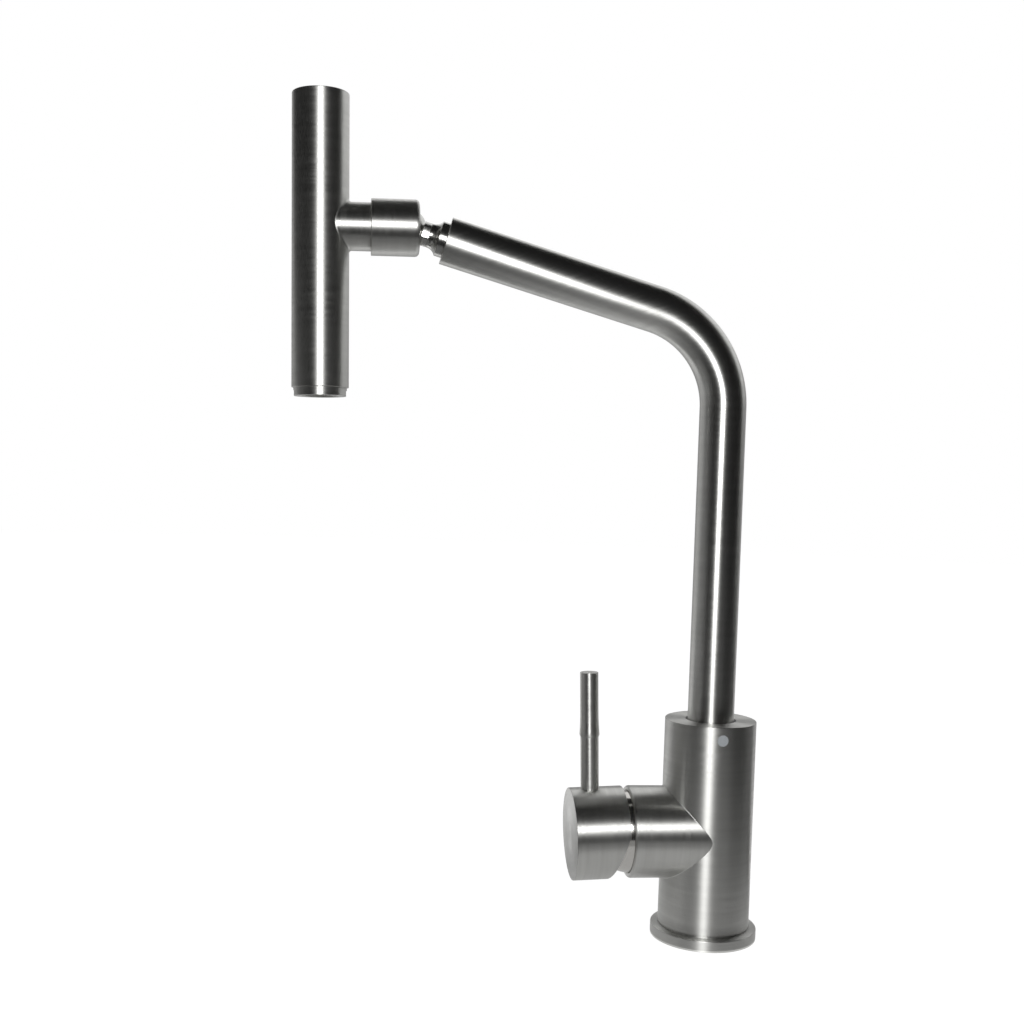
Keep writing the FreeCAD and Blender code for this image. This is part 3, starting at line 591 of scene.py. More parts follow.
# %% Barrel with its weld
barrel_outline = rounded([
    (barrel_r, barrel_end - weld_clear, 0.0),
    (barrel_r, barrel_end, rim_round),
    (mouth_r, barrel_end, EDGE),
    (mouth_r, mouth_floor, HAIR),
    (thread_r, mouth_floor, HAIR),
    (thread_r, thread_floor, HAIR),
    (cartridge_r, thread_floor, HAIR),
    (cartridge_r, cartridge_floor, HAIR),
    (0.0, cartridge_floor, 0.0),
], closed=False)
barrel_patch = branch_patch(barrel_r, column_r, weld_r, barrel_outline)
print("barrel:", round(barrel_r * 2 / MM, 1), "mm across, its end", round(barrel_end / MM, 1), "mm out")

# %% [markdown]
# ## The column's wall
#
# The column is closed by upright strips: one above the barrel, one below it, and one round the
# far side. All of them use the turn angles of the saddle's own points, so that strips, ends and
# weld meet point to point and the highlight runs on without a seam.

# %% Rows of the column
foot_row = barrel_patch["rows"][0]
quarter = SIDES // 4
upper = np.arange(-quarter, quarter + 1) % SIDES
lower = np.arange(quarter, 3 * quarter + 1)
turn_of = np.arctan2(foot_row[:, 1], foot_row[:, 2])
side_turn = float(turn_of[quarter])
far_turns = np.linspace(side_turn, math.tau - side_turn, SIDES // 2)


def column_row(height, radius, turns):
    """A circle of the column in the barrel's frame, by its turns from the barrel's side."""
    return np.stack([np.full(len(turns), height - barrel_height),
                     radius * np.sin(turns), radius * np.cos(turns)], 1)


def wall(rows, turns):
    """A strip of the column's wall, with normals straight out and its UV map in turns and height."""
    item = patch(rows, False)
    item["uv"] = np.stack([np.broadcast_to(turns / math.tau, rows.shape[:2]), rows[:, :, 0] / MM], 2)
    item["normals"] = np.repeat(column_row(barrel_height, 1.0, turns)[None], len(rows), 0)
    return item


def column_end(outline):
    """An end of the column from its outline, turned in the barrel's frame."""
    turns = np.concatenate([turn_of[upper], far_turns[1:-1]])
    item = patch(np.stack([column_row(z, r, turns) for r, z in outline[::-1]]))
    item["uv"][:, :, 0] = np.append(turns, turns[0] + math.tau) / math.tau
    return item


print("the barrel covers", round(math.degrees(2 * side_turn)), "degrees of the column")

# %% [markdown]
# ## The strips and the plug's hole
#
# High on the column's side a small round hole takes the plug over the spout's fixing screw. A
# round hole doesn't fit a square grid, so a window is left out of the far strip, and rows of
# points lead from the hole's round edge to the window's square frame. The strips beside it take
# the same heights, so no point lies halfway along a neighbour's edge.

# %% Strips with a window
_, plug_low, plug_high = extent("grub_screw_plug", upright)
plug_height = (plug_low + plug_high) / 2
plug_hole_r = (plug_high - plug_low) / 2 + HAIR / 2
plug_turn = 1.5 * math.pi
window_reach = 5.2 * MM
WINDOW_ROWS = 7
window_rows = np.linspace(plug_height + window_reach, plug_height - window_reach, WINDOW_ROWS)
behind_rows = np.concatenate([[wall_high], window_rows, [barrel_height, wall_low]])
behind = wall(np.stack([column_row(h, column_r, far_turns) for h in behind_rows]), far_turns)
left, right = (int(np.abs(far_turns - plug_turn - side * window_reach / column_r).argmin())
               for side in (-1, 1))
behind["skip"] = {(row, side) for row in range(1, WINDOW_ROWS) for side in range(left, right)}
down_to_weld = (wall_high - behind_rows[:-1]) / (wall_high - barrel_height)
high_row = column_row(wall_high, column_r, turn_of[upper])
above = wall(np.stack([high_row + share * (foot_row[upper] - high_row) for share in down_to_weld]),
             turn_of[upper])
below = wall(np.stack([column_row(wall_low, column_r, turn_of[lower]), foot_row[lower]]),
             turn_of[lower])
print("the plug's hole is", round(plug_hole_r * 2 / MM, 2), "mm across")

# %% Rows from the plug's hole to the window's frame
frame_points = [(far_turns[n], window_rows[-1]) for n in range(left, right)]
frame_points += [(far_turns[right], h) for h in window_rows[:0:-1]]
frame_points += [(far_turns[n], window_rows[0]) for n in range(right, left, -1)]
frame_points += [(far_turns[left], h) for h in window_rows[:-1]]
frame_turns, frame_heights = np.array(frame_points).T
reach = np.arctan2(frame_heights - plug_height, (frame_turns - plug_turn) * column_r)
edge_turns = plug_turn + np.arcsin(plug_hole_r * np.cos(reach) / column_r)
edge_heights = plug_height + plug_hole_r * np.sin(reach)


def window_row(share):
    """Points between the plug's hole and the window's frame, on the column's wall."""
    turns = edge_turns + share * (frame_turns - edge_turns)
    rows = column_row(barrel_height, column_r, turns)
    rows[:, 0] = edge_heights + share * (frame_heights - edge_heights) - barrel_height
    return rows


shares_out = (0.0, 0.05, 0.25, 0.5, 0.75, 1.0)
around_plug = patch(np.stack([window_row(share) for share in shares_out]))
outward = around_plug["rows"] * (0, 1, 1)
around_plug["normals"] = outward / np.linalg.norm(outward, axis=2, keepdims=True)
seen = np.concatenate([around_plug["rows"], around_plug["rows"][:, :1]], 1)
around_plug["uv"] = np.stack([np.arctan2(seen[:, :, 1], seen[:, :, 2]) % math.tau / math.tau,
                              seen[:, :, 0] / MM], 2)
plug_hole_depth = 3.0 * MM
hole_edge = window_row(0.0)
hole_floor = hole_edge + (0, plug_hole_depth, 0)
hole_middle = np.repeat(hole_floor.mean(0)[None], len(hole_floor), 0)
plug_hole = patch(np.stack([hole_middle, hole_floor, hole_edge]))
print("points round the plug's hole:", len(hole_edge))

# %% [markdown]
# ## The column's ends
#
# The upper end leads over the rim into the bush's seat and down the spout's socket. The lower
# end leads over the fine groove and the spigot in the base ring into the hose chamber. Each is
# an outline as on a lathe, carried round by the turns of the strips.

# %% Ends of the column
top_end = column_end(rounded([
    (column_r, wall_high - 5 * EDGE, 0.0),
    (column_r, body_top, 1.5 * EDGE),
    (bush_r + HAIR / 5, body_top, EDGE),
    (bush_r + HAIR / 5, bush_seat, HAIR),
    (socket_r, bush_seat, HAIR),
    (socket_r, socket_floor, HAIR),
    (0.0, socket_floor, 0.0),
], closed=False)[1:])
bottom_end = column_end(rounded([
    (chamber_r - EDGE, chamber_top, 0.0),
    (chamber_r, chamber_top, HAIR),
    (chamber_r, spigot_bottom, EDGE),
    (spigot_r, spigot_bottom, EDGE),
    (spigot_r, ring_top, HAIR),
    (groove_r, ring_top, HAIR),
    (groove_r, groove_high, HAIR),
    (column_r, groove_high, EDGE),
    (column_r, wall_low + 5 * EDGE, 0.0),
], closed=False)[:-1])
print("points round each end:", top_end["rows"].shape[1])

# %% [markdown]
# ## The hose chamber's ceiling
#
# Two threaded inlets for the supply hoses and the fixing stud's hole are drilled up into the
# ceiling. A flat face with round holes is no grid, so it is cut into triangles between the
# rims, and the triangles that fall in a hole are left out.

# %% Holes of the ceiling
inlet_r, inlet_depth, port_r, port_depth = 4.46 * MM, 12.0 * MM, 3.2 * MM, 31.0 * MM
stud_r, stud_depth = 3.32 * MM, 13.0 * MM
inlet_bore = [(0.0, port_depth, 0.0), (port_r, port_depth, HAIR), (port_r, inlet_depth, HAIR),
              (inlet_r, inlet_depth, HAIR), (inlet_r, 0.0, 0.0)]
stud_bore = [(0.0, stud_depth, 0.0), (stud_r, stud_depth, HAIR), (stud_r, 0.0, 0.0)]
chamber_holes = [((9.0 * MM, 8.5 * MM), inlet_bore), ((9.0 * MM, -8.5 * MM), inlet_bore),
                 ((-12.0 * MM, 0.0), stud_bore)]


def hole_rows(at, outline):
    """A hole's end and its wall down to the ceiling, in the barrel's frame."""
    rows = circle_rows(rounded(outline, closed=False), EVEN_TURN[::4])
    return np.stack([rows[:, :, 2] + chamber_top - barrel_height, rows[:, :, 1] + at[1],
                     -rows[:, :, 0] - at[0]], 2)


bores = [patch(hole_rows(at, outline)) for at, outline in chamber_holes]
print("holes in the ceiling:", len(bores))

# %% Ceiling's triangles and the body
rims = [bottom_end["rows"][-1]] + [bore["rows"][-1] for bore in bores]
links = []
for rim in rims:
    first = len(links)
    links += [(first + k, first + (k + 1) % len(rim)) for k in range(len(rim))]
ceiling_points = np.concatenate(rims)
flat_points = [Vector((z, y)) / MM for _, y, z in ceiling_points]
cut = delaunay_2d_cdt(flat_points, links, [], 1, 1e-6)[2]


def in_a_hole(face):
    """Whether a triangle's middle lies in one of the holes."""
    middle = sum((flat_points[k] for k in face), Vector((0, 0))) * MM / 3
    return any((middle - Vector((-at[0], at[1]))).length < outline[-1][0]
               for at, outline in chamber_holes)


downward = np.tile((-1.0, 0.0, 0.0), (1, len(ceiling_points), 1))
ceiling = {"rows": ceiling_points[None], "normals": downward,
           "uv": ceiling_points[None, :, 1:] / (math.tau * chamber_r, MM),
           "round": False, "along": False, "skip": set(),
           "triangles": [face for face in cut if not in_a_hole(face)]}
build("body", [barrel_patch, above, below, behind, around_plug, plug_hole, top_end, bottom_end,
               ceiling] + bores, in_barrel, [body_steel], "root")

# %% [markdown]
# ## The bent spout tube
#
# The tube is thin-walled, 25.4 mm across, and bent once over a mandrel, so it keeps its round
# section through the bend. It is swept ring by ring along its centre line, which runs up the
# riser, round the bend and along the arm. The belt polish follows the tube, so the turns and
# the millimetres of its UV map follow it as well. A curve with a round bevel would be quicker
# to make, but has neither the wall's inside nor such a UV map.

# %% Centre line of the tube
BEND_STEPS = 56
tube_wall = 1.2 * MM
bend_radius = 54.0 * MM
collar_back = extent("ball_stem", standing(ball_centre, arm_along))[1]
shank = 10.0 * MM
corner = ball_centre + arm_along * (-ball_centre.x / arm_along.x)
arm_end = ball_centre + arm_along * (collar_back + shank)
bend_turn = math.acos(arm_along.z)
tangent_length = bend_radius * math.tan(bend_turn / 2)
bend_start = Vector((0, 0, corner.z - tangent_length))
bend_centre = bend_start - Vector((bend_radius, 0, 0))
path = [(Vector((0, 0, tube_bottom + ahead)), 0.0) for ahead in (0.0, EDGE)]
for step in range(BEND_STEPS + 1):
    turn = bend_turn * step / BEND_STEPS
    out = Vector((math.cos(turn), 0, math.sin(turn)))
    path.append((bend_centre + out * bend_radius, turn))
path += [(arm_end - arm_along * EDGE, bend_turn), (arm_end, bend_turn)]
print("riser and arm bend by", round(math.degrees(bend_turn), 1), "degrees")


# %% Rings along the tube
def tube_rings(radius, stations):
    """Rings of the tube's section at stations of its path."""
    return np.array([np.array(point) + radius * np.stack([COS * math.cos(turn), SIN,
                                                          COS * math.sin(turn)], 1)
                     for point, turn in stations])


def end_round(outer, inner, station, ahead):
    """The rounded lip between the tube's outer and inner walls at one end."""
    point, turn = station
    along = Vector((-math.sin(turn), 0, math.cos(turn)))
    lips = rounded([(outer, -2 * EDGE, 0), (outer, 0, EDGE), (inner, 0, EDGE), (inner, -2 * EDGE, 0)],
                   closed=False)[1:-1]
    return np.concatenate([tube_rings(r, [(point + along * ahead * z, turn)]) for r, z in lips])


tube_bore = tube_r - tube_wall
outside = tube_rings(tube_r, path[1:-1])
inside = tube_rings(tube_bore, path[1:-1])[::-1]
arm_lip = end_round(tube_r, tube_bore, path[-1], 1)
foot_lip = end_round(tube_r, tube_bore, path[0], -1)[::-1]
tube_rows = np.concatenate([outside, arm_lip, inside, foot_lip])
build("spout_tube", [patch(tube_rows, True, True)], upright, [tube_steel], "spout")

# %% [markdown]
# ## The ball joint
#
# The nut holds the ball behind a flared mouth and has a generously rounded front rim. The ball
# stem is one turned piece: a shank in the arm, a collar, a hollow curve down to a hexagon for a
# key, a neck and the ball, with the water's bore through all of it. The hexagon's flats are
# slightly crowned, as tumbling leaves them, so that each shows a band of light and not all
# light or all dark. Both are outlines as on a lathe; the hexagon is a ring round the neck.

# %% Ball nut
nut_r, nut_front, nut_back = extent("ball_nut", in_branch)
nut_rim, nut_thread_r, flare_r = 3.0 * MM, 12.05 * MM, 10.4 * MM
seat_r = 10.45 * MM
lip_at = -4.4 * MM
lip_angle = math.degrees(math.acos(lip_at / seat_r))
cavity_r, cavity_end = 11.1 * MM, 11.55 * MM
turned("ball_nut", [
    (nut_r, nut_front, nut_rim),
    (nut_r, nut_back, 1.2 * EDGE),
    (nut_thread_r, nut_back, HAIR),
    (nut_thread_r, cavity_end, HAIR),
    (cavity_r, cavity_end, HAIR),
    (cavity_r, 0.0, HAIR),
] + arc(0.0, seat_r, 90, lip_angle) + [
    (flare_r, nut_front, EDGE),
], in_branch, head_steel, "head")

# %% Ball stem
stem_place = standing(arm_end, arm_along)
ball_at = (ball_centre - arm_end).length
ball_r = 10.4 * MM
collar_r, collar_top = 9.4 * MM, 4.0 * MM
waist_r, waist_at = 6.45 * MM, 8.5 * MM
neck_r, stem_bore_r, shank_r = 5.2 * MM, 3.2 * MM, 5.0 * MM
hexagon_low, hexagon_high, hexagon_flat = 9.1 * MM, 13.3 * MM, 6.0 * MM
HEXAGON_POINTS, CROWN = 72, 0.8
cove_shares = np.linspace(0, 1, 9)[1:-1]
cove = [(collar_r + (waist_r - collar_r) * (1 - (1 - share) ** 1.7),
         collar_top + (waist_at - collar_top) * share ** 1.3, 0.0) for share in cove_shares]
neck_turn = 180 - math.degrees(math.asin(neck_r / ball_r))
bore_turn = math.degrees(math.asin(stem_bore_r / ball_r))
stem_rows = circle_rows(rounded([
    (shank_r, -shank, EDGE),
    (shank_r, 0.0, HAIR),
    (collar_r, 0.0, EDGE),
    (collar_r, collar_top, EDGE),
] + cove + [
    (waist_r, waist_at, HAIR),
    (waist_r, hexagon_low, HAIR),
    (neck_r, hexagon_low, HAIR),
] + arc(ball_at, ball_r, neck_turn, bore_turn, 40) + [
    (stem_bore_r, -shank, EDGE),
]), EVEN_TURN)
print("the ball's centre is", round(ball_at / MM, 2), "mm from the arm's end")

# %% Stem's hexagon
hexagon_turn = np.arange(HEXAGON_POINTS) * math.tau / HEXAGON_POINTS
facing = hexagon_turn + math.pi / 6
from_flat = facing % (math.pi / 3) - math.pi / 6
crowned = hexagon_flat / np.cos(CROWN * from_flat)
hexagon_ring = np.stack([crowned * np.cos(facing), crowned * np.sin(facing)], 1)
hexagon_rows = np.array([np.column_stack([hexagon_ring * scale, np.full(len(hexagon_ring), height)])
                         for scale, height in (
                             (0.7, hexagon_low), (0.75, hexagon_low), (0.97, hexagon_low),
                             (1.0, hexagon_low + EDGE), (1.0, hexagon_high - EDGE),
                             (0.97, hexagon_high), (0.75, hexagon_high), (0.7, hexagon_high))])
build("ball_stem", [patch(stem_rows, True, True), patch(hexagon_rows, True, True)],
      stem_place, [stem_steel], "ball_stem")

# %% [markdown]
# ## The branch and the head
#
# The branch is a short tube welded to the upright head tube, so it is made like the body's
# barrel, but as a piece of its own that ends inside the head's wall. A disc with a hair of a
# gap closes the head's top. The aerator's ring shows below the head. It is turned, with two
# flats milled for a spanner, which are made by pressing the points beyond them back.

# %% Branch
head_r, head_bottom, head_top = extent("head_tube", in_head)
head_wall, head_weld, plain_length = 1.2 * MM, 1.5 * MM, 5 * MM
branch_end = head_at - nut_back
in_tee = standing(ball_centre + branch_along * head_at, -branch_along)
branch_outline = rounded([
    (tube_r, branch_end - plain_length, 0.0),
    (tube_r, branch_end, EDGE),
    (tube_bore, branch_end, EDGE),
    (tube_bore, branch_end - plain_length, 0.0),
], closed=False)
inner_row = saddle(tube_bore, head_r - head_wall / 2)
branch = branch_patch(tube_r, head_r, head_weld, branch_outline, [inner_row])
build("head_branch", [branch], in_tee, [head_steel], "head")

# %% Head tube and end cap
turned("head_tube", [
    (head_r, head_bottom, EDGE),
    (head_r, head_top, 1.5 * EDGE),
    (head_r - head_wall, head_top, HAIR),
    (head_r - head_wall, head_bottom, HAIR),
], in_head, head_steel, "head")
disc_r, disc_bottom, disc_top = extent("head_end_cap", in_head)
turned("head_end_cap", [
    (0.0, disc_bottom, 0.0),
    (disc_r, disc_bottom, HAIR),
    (disc_r, disc_top, EDGE / 2),
    (0.0, disc_top, 0.0),
], in_head, head_steel, "head")

# %% Aerator ring with its flats
_, aerator_bottom, skirt_top = extent("aerator_housing", in_head)
aerator_r, skirt_r = 14.0 * MM, 12.0 * MM
flat_top, flat_reach = aerator_bottom + 3.0 * MM, 13.55 * MM
lip_r, lip_top, bore_r = 9.8 * MM, aerator_bottom + 1.2 * MM, 10.5 * MM
aerator_rows = circle_rows(rounded([
    (aerator_r, aerator_bottom, EDGE),
    (aerator_r, flat_top - HAIR / 5, 0.0),
    (aerator_r, flat_top + HAIR / 5, 0.0),
    (aerator_r, head_bottom, HAIR),
    (skirt_r, head_bottom, HAIR),
    (skirt_r, skirt_top, HAIR),
    (bore_r, skirt_top, HAIR),
    (bore_r, lip_top, HAIR),
    (lip_r, lip_top, HAIR),
    (lip_r, aerator_bottom, EDGE),
]), EVEN_TURN)
beside_flats = aerator_rows[:, 0, 2] < flat_top
aerator_rows[beside_flats, :, 0] = np.clip(aerator_rows[beside_flats, :, 0], -flat_reach, flat_reach)
build("aerator_housing", [patch(aerator_rows, True, True)], in_head, [head_steel], "head")

# %% [markdown]
# ## The dome and the cap
#
# The dome behind the cap is a polished ball zone about the lever's pivot, so that the cap,
# hollowed as a slightly larger ball, can tilt over it without touching. The cap is cut back
# underneath to clear the barrel when it is lifted, so its rear isn't a circle in one plane and
# it is built from rows: up the hollow, over the rear rim and round the wall to the face, which
# takes its own finish.

# %% Dome ring
dome_r, dome_wall = 22.1 * MM, 1.2 * MM
pivot_at = float((in_barrel.inverted() @ pivot).z)
opening_r = 14.0 * MM
dome_inner = dome_r - dome_wall
skirt_outer, skirt_inner = thread_r - HAIR / 2, thread_r - HAIR / 2 - 1.3 * MM
flange_top = mouth_floor + 1.4 * MM
opening_turn = math.degrees(math.asin(opening_r / dome_r))
inner_turn = math.degrees(math.asin(opening_r / dome_inner))
flange_turn = math.degrees(math.acos((flange_top - pivot_at) / dome_inner))
skirt_end = mouth_floor - 3 * MM
turned("dome_ring", [
    (skirt_outer, skirt_end, HAIR),
    (skirt_outer, mouth_floor, HAIR),
    (dome_r, mouth_floor, HAIR),
] + arc(pivot_at, dome_r, 90, opening_turn, 20)
  + arc(pivot_at, dome_inner, inner_turn, flange_turn, 16) + [
    (skirt_inner, flange_top, HAIR),
    (skirt_inner, skirt_end, HAIR),
], in_barrel, polished_steel, "root")

# %% Cap's hollow and rear rim
cap_r, cap_rear, cap_face = extent("lever_cap", in_lever)
cut_rise, cut_slope = 4.0 * MM, math.tan(math.radians(20.0))
gap_to_dome = 0.7 * MM
SETTLE_ROUNDS = 12
hollow_r = dome_r + gap_to_dome


def rear_of_cap(x):
    """How far along the lever the cap's rear lies, cut back below its middle."""
    return cap_rear + np.maximum(0.0, cut_rise - x) * cut_slope


def rear_ring(radius, ahead=0.0):
    """A ring of points on the cap's rear, or a little ahead of it."""
    x = radius * COS
    return np.stack([x, radius * SIN, rear_of_cap(x) + ahead], 1)


# The ball meets the slanted rear on a curve whose radius settles in a few rounds.
hollow_edge = np.full(SIDES, hollow_r)
for _ in range(SETTLE_ROUNDS):
    hollow_edge = np.sqrt(hollow_r ** 2 - rear_of_cap(hollow_edge * COS) ** 2)
edge_turn = np.arctan2(hollow_edge, rear_of_cap(hollow_edge * COS))
turns = np.linspace(0, 1, 24)[:, None] * edge_turn
hollow_rows = hollow_r * np.stack([np.sin(turns) * COS, np.sin(turns) * SIN, np.cos(turns)], 2)
rim_rows = [rear_ring(hollow_edge + HAIR), rear_ring(cap_r - EDGE),
            rear_ring(cap_r - 0.3 * EDGE, 0.3 * EDGE), rear_ring(cap_r, EDGE)]
print("the cap's rear leans by", round(math.degrees(math.atan(cut_slope))), "degrees below its middle")

# %% Cap's face
face_edge = rounded([
    (cap_r, cap_face - 2 * MM, 0.0),
    (cap_r, cap_face, 1.6 * EDGE),
    (0.0, cap_face, 0.0),
], closed=False)[1:-1]
face_rows = circle_rows(face_edge + [(cap_r * share, cap_face) for share in np.linspace(0.9, 0.0, 7)],
                        EVEN_TURN)
cap_patch = patch(np.concatenate([hollow_rows, rim_rows, face_rows]), level_row=-1)
cap_patch["second_from"] = len(hollow_rows) + len(rim_rows) + len(face_edge) - 1
build("lever_cap", [cap_patch], in_lever, [body_steel, face_steel], "lever")

# %% [markdown]
# ## The pin lever
#
# The rod screws into the cap and carries a sleeve on its upper part, the grip, which swells a
# little towards its lower end. Both are plain lathe work, stood in the lever's own frame.

# %% Pin lever's rod
_, near_side, far_side = extent("lever_rod", in_lever)
rod_at = (near_side + far_side) / 2
rod_r = 5.0 * MM
in_rod = standing(in_lever @ Vector((0, 0, rod_at)), in_lever.to_3x3() @ Vector((1, 0, 0)))
grip_r, grip_start, grip_top = extent("lever_grip", in_rod)
core_r = 3.0 * MM
seat_at = cap_r - 3.6 * MM
rod_foot, rod_tip = extent("lever_rod", in_rod)[1:]
turned("lever_rod", [
    (0.0, rod_foot, 0.0),
    (core_r, rod_foot, EDGE),
    (core_r, seat_at, HAIR),
    (rod_r, seat_at, HAIR),
    (rod_r, grip_start, 0.6 * EDGE),
    (core_r, grip_start, HAIR),
    (core_r, rod_tip, EDGE),
    (0.0, rod_tip, 0.0),
], in_rod, rod_steel, "lever")

# %% Grip with its swell
swell = grip_r - rod_r
swell_low, swell_high = grip_start + 1.0 * MM, grip_start + 14.0 * MM
swell_shares = np.linspace(0, 1, 9)[:-1]
swell_rows = [(rod_r + swell * (1 - share) ** 2, swell_low + share * (swell_high - swell_low), 0.0)
              for share in swell_shares]
grip_ceiling = grip_top - 6.0 * MM
turned("lever_grip", [
    (0.0, grip_ceiling, 0.0),
    (core_r + HAIR / 5, grip_ceiling, HAIR),
    (core_r + HAIR / 5, grip_start, HAIR),
    (grip_r - EDGE, grip_start, HAIR),
] + swell_rows + [
    (rod_r, swell_high, 0.0),
    (rod_r, grip_top, 1.2 * EDGE),
    (0.0, grip_top, 0.0),
], in_rod, rod_steel, "lever")

# %% [markdown]
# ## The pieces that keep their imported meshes
#
# The screws are plain turned steel, the screwed rings inside the joint are brass, the cartridge
# is white acetal with two lapped ceramic discs, and the seals are black rubber. Hardly anything
# of them shows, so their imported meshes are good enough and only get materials, by their slots.

# %% Materials of the kept pieces
finish_of_slot = {
    "polished_stainless": polished_steel,
    "fastener_steel": screw_steel,
    "brass": brass,
    "grey_plug": grey_acetal,
    "dark_acetal": black_acetal,
    "white_acetal": white_acetal,
    "white_ceramic": ceramic,
    "black_rubber": rubber,
    "brushed_stainless": screw_steel,
}
finish_of_node = {"arm_fitting": nickel_plate}
for node, slot in slots.items():
    mesh = frame["nodes"][node].data
    mesh.materials.clear()
    mesh.materials.append(finish_of_node.get(node, finish_of_slot[slot]))
print("packed nodes with a finish:", len(slots))

# %% [markdown]
# ## The camera
#
# The photo was taken from a little above the mixer's middle height and slightly to one side,
# with a lens of about 45 mm on a full frame. Its place comes from fitting the mixer's known
# sizes to the picture, so that the model lies over the photo.

# %% Camera
camera_place = Vector((-0.199948, -0.678583, 0.250719))
camera_right = Vector((0.99172055, -0.1235855, 0.03488504))
camera_up = Vector((-0.03104224, 0.03288515, 0.99897695))
camera_back = camera_right.cross(camera_up)
camera_data = bpy.data.cameras.new("photo_camera")
camera_data.sensor_width = 36.0
camera_data.lens = 44.6
camera_data.clip_start = 0.01
camera = placed("photo_camera", camera_data)
camera.matrix_world = Matrix((camera_right, camera_up, camera_back)).transposed().to_4x4()
camera.matrix_world.translation = camera_place
bpy.context.scene.camera = camera
bpy.context.scene.view_settings.view_transform = "Standard"
print("camera at", [round(v, 3) for v in camera_place], "with a lens of", round(camera_data.lens, 1), "mm")

# %% [markdown]
# ## The studio
#
# Steel shows its surroundings more than itself. The bright line on every piece is one small
# soft lamp beside the camera, drawn out by the brushing. The world and the floor are white to
# the camera and in reflections. The floor is a board that mostly shines with its own colour,
# which leaves a faint shadow under the body.

# %% World
world = bpy.data.worlds.new("white_studio")
world.use_nodes = True
bpy.context.scene.world = world
tree = world.node_tree
tree.nodes.clear()


def seen_directly(tree):
    """One for rays from the camera, or off a glossy or clear surface, and nought for others."""
    path = add(tree, "LightPath")
    both = add(tree, "Math", {0: path.outputs["Is Camera Ray"], 1: path.outputs["Is Glossy Ray"]},
               operation="MAXIMUM")
    return add(tree, "Math", {0: both.outputs[0], 1: path.outputs["Is Transmission Ray"]},
               operation="MAXIMUM").outputs[0]


WORLD_LIGHT = 0.6
strength = add(tree, "MapRange", {"Value": seen_directly(tree), "To Min": WORLD_LIGHT, "To Max": 1.0})
background = add(tree, "Background", {"Color": (1, 1, 1, 1), "Strength": strength.outputs[0]})
add(tree, "OutputWorld", {"Surface": background.outputs[0]})
print("world light:", WORLD_LIGHT)

# %% Floor
FLOOR_SHINE, SHINE_SHARE = 1.25, 0.7
floor_material, tree = new_material("floor_white_board")
board = add(tree, "BsdfDiffuse", {"Color": (0.8, 0.8, 0.8, 1)})
shine = add(tree, "Emission", {"Color": (1, 1, 1, 1), "Strength": FLOOR_SHINE})
share = add(tree, "Math", {0: seen_directly(tree), 1: SHINE_SHARE}, operation="MULTIPLY")
finish_with(tree, add(tree, "MixShader", {0: share.outputs[0], 1: board.outputs[0],
                                          2: shine.outputs[0]}))
FLOOR_DROP = 0.2 * MM
FLOOR_R = 4.0


def flat_piece(name, points, faces, material):
    """A mesh of the studio without thickness, with its material."""
    mesh = bpy.data.meshes.new(name)
    mesh.from_pydata([tuple(p) for p in points], [], faces)
    mesh.materials.append(material)
    return placed(name, mesh)


floor_ring = circle_rows([(FLOOR_R, -FLOOR_DROP)], EVEN_TURN)[0]
floor = flat_piece("floor", floor_ring, [list(range(SIDES))], floor_material)
print("floor:", FLOOR_R * 2, "m across")

# %% [markdown]
# ## Cards for the reflections
#
# A product photographer shapes steel with black and grey cards. These stand round the mixer
# and lie on the floor, and only reflections see them, so they change neither the light on the
# steel nor the white background. In front and to the right the room is dark, which gives the
# tubes their dark flanks. Behind stands a low grey wall under an open strip of white sky, which
# edges the upper sides with light. The floor cards set what the undersides show: pale close to
# the mixer and behind it, dark towards the camera. A pale slanted card on the left lights the
# left flanks of the head and the body.

# %% Helpers for the cards
STUDIO = Vector((-0.03, 0.0, 0.0))
WALL_R = 1.2
CEILING = 1.5
CARD_STEPS = 24


def reflected_card(name, points, faces, level):
    """A card with an even glow that shows in reflections and nowhere else."""
    material, tree = new_material(name)
    finish_with(tree, add(tree, "Emission", {"Color": (1, 1, 1, 1), "Strength": level}))
    piece = flat_piece(name, points, faces, material)
    for kind in ("camera", "diffuse", "shadow", "transmission", "volume_scatter"):
        setattr(piece, "visible_" + kind, False)


def strip(name, first, last, from_point, to_point, level):
    """A card swept between two angles, in degrees right of the camera as seen from the mixer.

    The points give its two edges as (distance, height).
    """
    to_camera = math.atan2(camera_place.y - STUDIO.y, camera_place.x - STUDIO.x)
    points = []
    for turn in np.linspace(first, last, CARD_STEPS + 1):
        angle = to_camera + math.radians(turn)
        out = Vector((math.cos(angle), math.sin(angle), 0))
        for distance, height in (from_point, to_point):
            points.append(STUDIO + distance * out + Vector((0, 0, height)))
    faces = [[2 * n, 2 * n + 1, 2 * n + 3, 2 * n + 2] for n in range(CARD_STEPS)]
    reflected_card(name, points, faces, level)


print("cards stand", WALL_R, "m from the mixer and reach", CEILING, "m up")

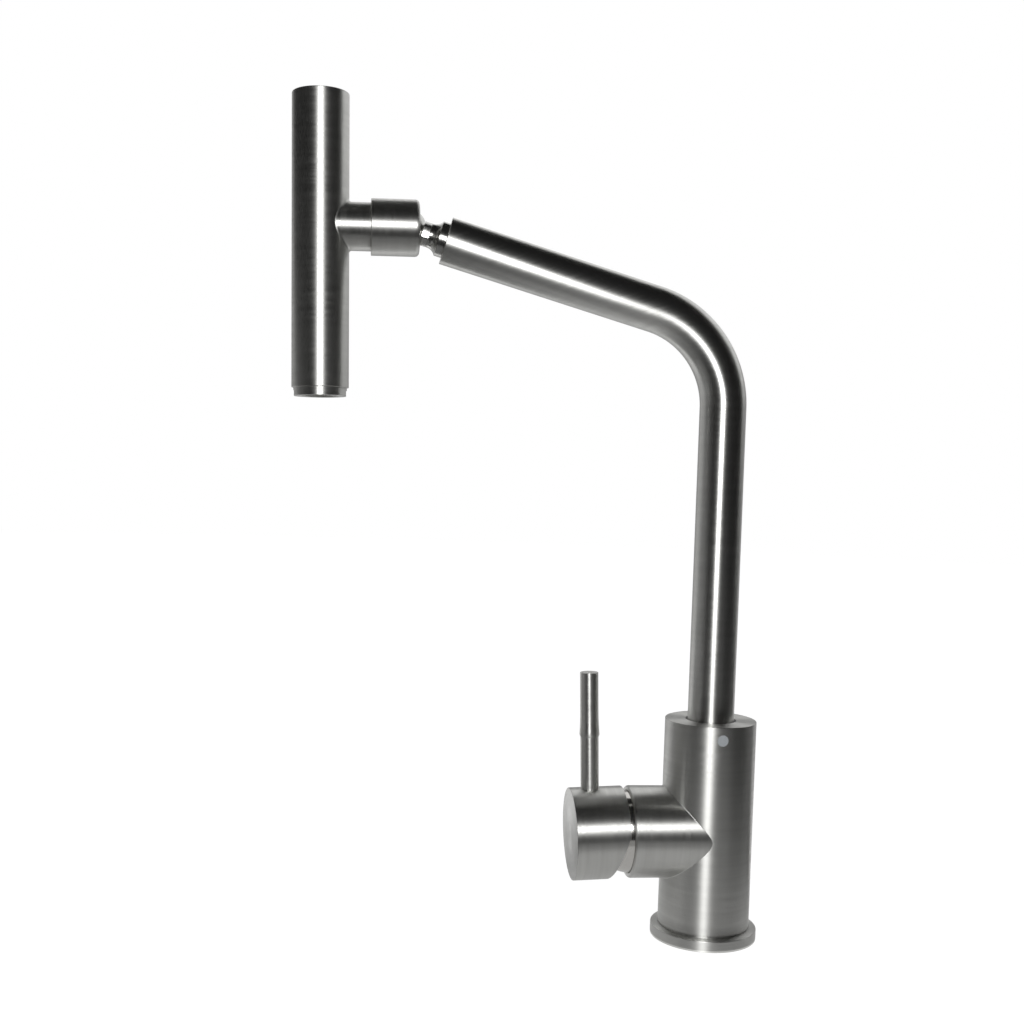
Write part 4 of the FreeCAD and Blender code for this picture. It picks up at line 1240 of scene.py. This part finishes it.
# %% The cards
DARK = 0.015
NEAR, MIDDLE, OUTER = (0.13, MM), (0.35, MM), (WALL_R, MM)
CARDS = (
    ("dark_wall_front", -118, 112, (WALL_R, 0.0), (WALL_R, CEILING), DARK),
    ("dark_wall_right", 112, 135, (WALL_R, 0.0), (WALL_R, 0.42), DARK),
    ("dark_ceiling_front", -130, 130, (0.0, CEILING), (WALL_R, CEILING), DARK),
    ("dark_ceiling_back", 130, 230, (0.0, CEILING), (0.82, CEILING), DARK),
    ("floor_near", -180, 180, (0.0, MM), NEAR, 0.55),
    ("floor_left", -138, -12, NEAR, MIDDLE, 0.17),
    ("floor_before", -12, 60, NEAR, MIDDLE, 0.33),
    ("floor_right", 60, 132, NEAR, MIDDLE, 0.17),
    ("floor_front", -110, 132, MIDDLE, OUTER, 0.02),
    ("floor_behind", 132, 222, NEAR, MIDDLE, 1.1),
    ("floor_back", 132, 222, MIDDLE, OUTER, 0.6),
    ("grey_wall_back", 135, 222, (WALL_R, 0.0), (WALL_R, 0.6), 0.36),
)
for card in CARDS:
    strip(*card)
reflected_card("pale_card_left", [(-0.5, -0.3, 0.0), (-0.5, -0.25, 0.1), (-0.53, 0.04, 0.27),
                                  (-0.61, 0.4, 0.5), (-0.61, 0.4, CEILING), (-0.65, 1.1, CEILING),
                                  (-0.65, 1.1, 0.0)], [[0, 1, 2, 3, 4, 5, 6]], 0.42)
print("cards:", len(CARDS) + 1)

# %% Lamp
LAMP_PLACE = Vector((-0.21, -0.8, 0.42))
LAMP_AIM = Vector((-0.1, 0.0, 0.25))
LAMP_SIZE = 0.21
LAMP_POWER = 4.4
lamp_data = bpy.data.lights.new("lamp_by_the_camera", "AREA")
lamp_data.shape = "SQUARE"
lamp_data.size = LAMP_SIZE
lamp_data.energy = LAMP_POWER
lamp = placed("lamp_by_the_camera", lamp_data)
lamp.location = LAMP_PLACE
lamp.rotation_euler = (LAMP_AIM - LAMP_PLACE).to_track_quat("-Z", "Y").to_euler()
print("lamp of", LAMP_POWER, "W,", LAMP_SIZE, "m across")
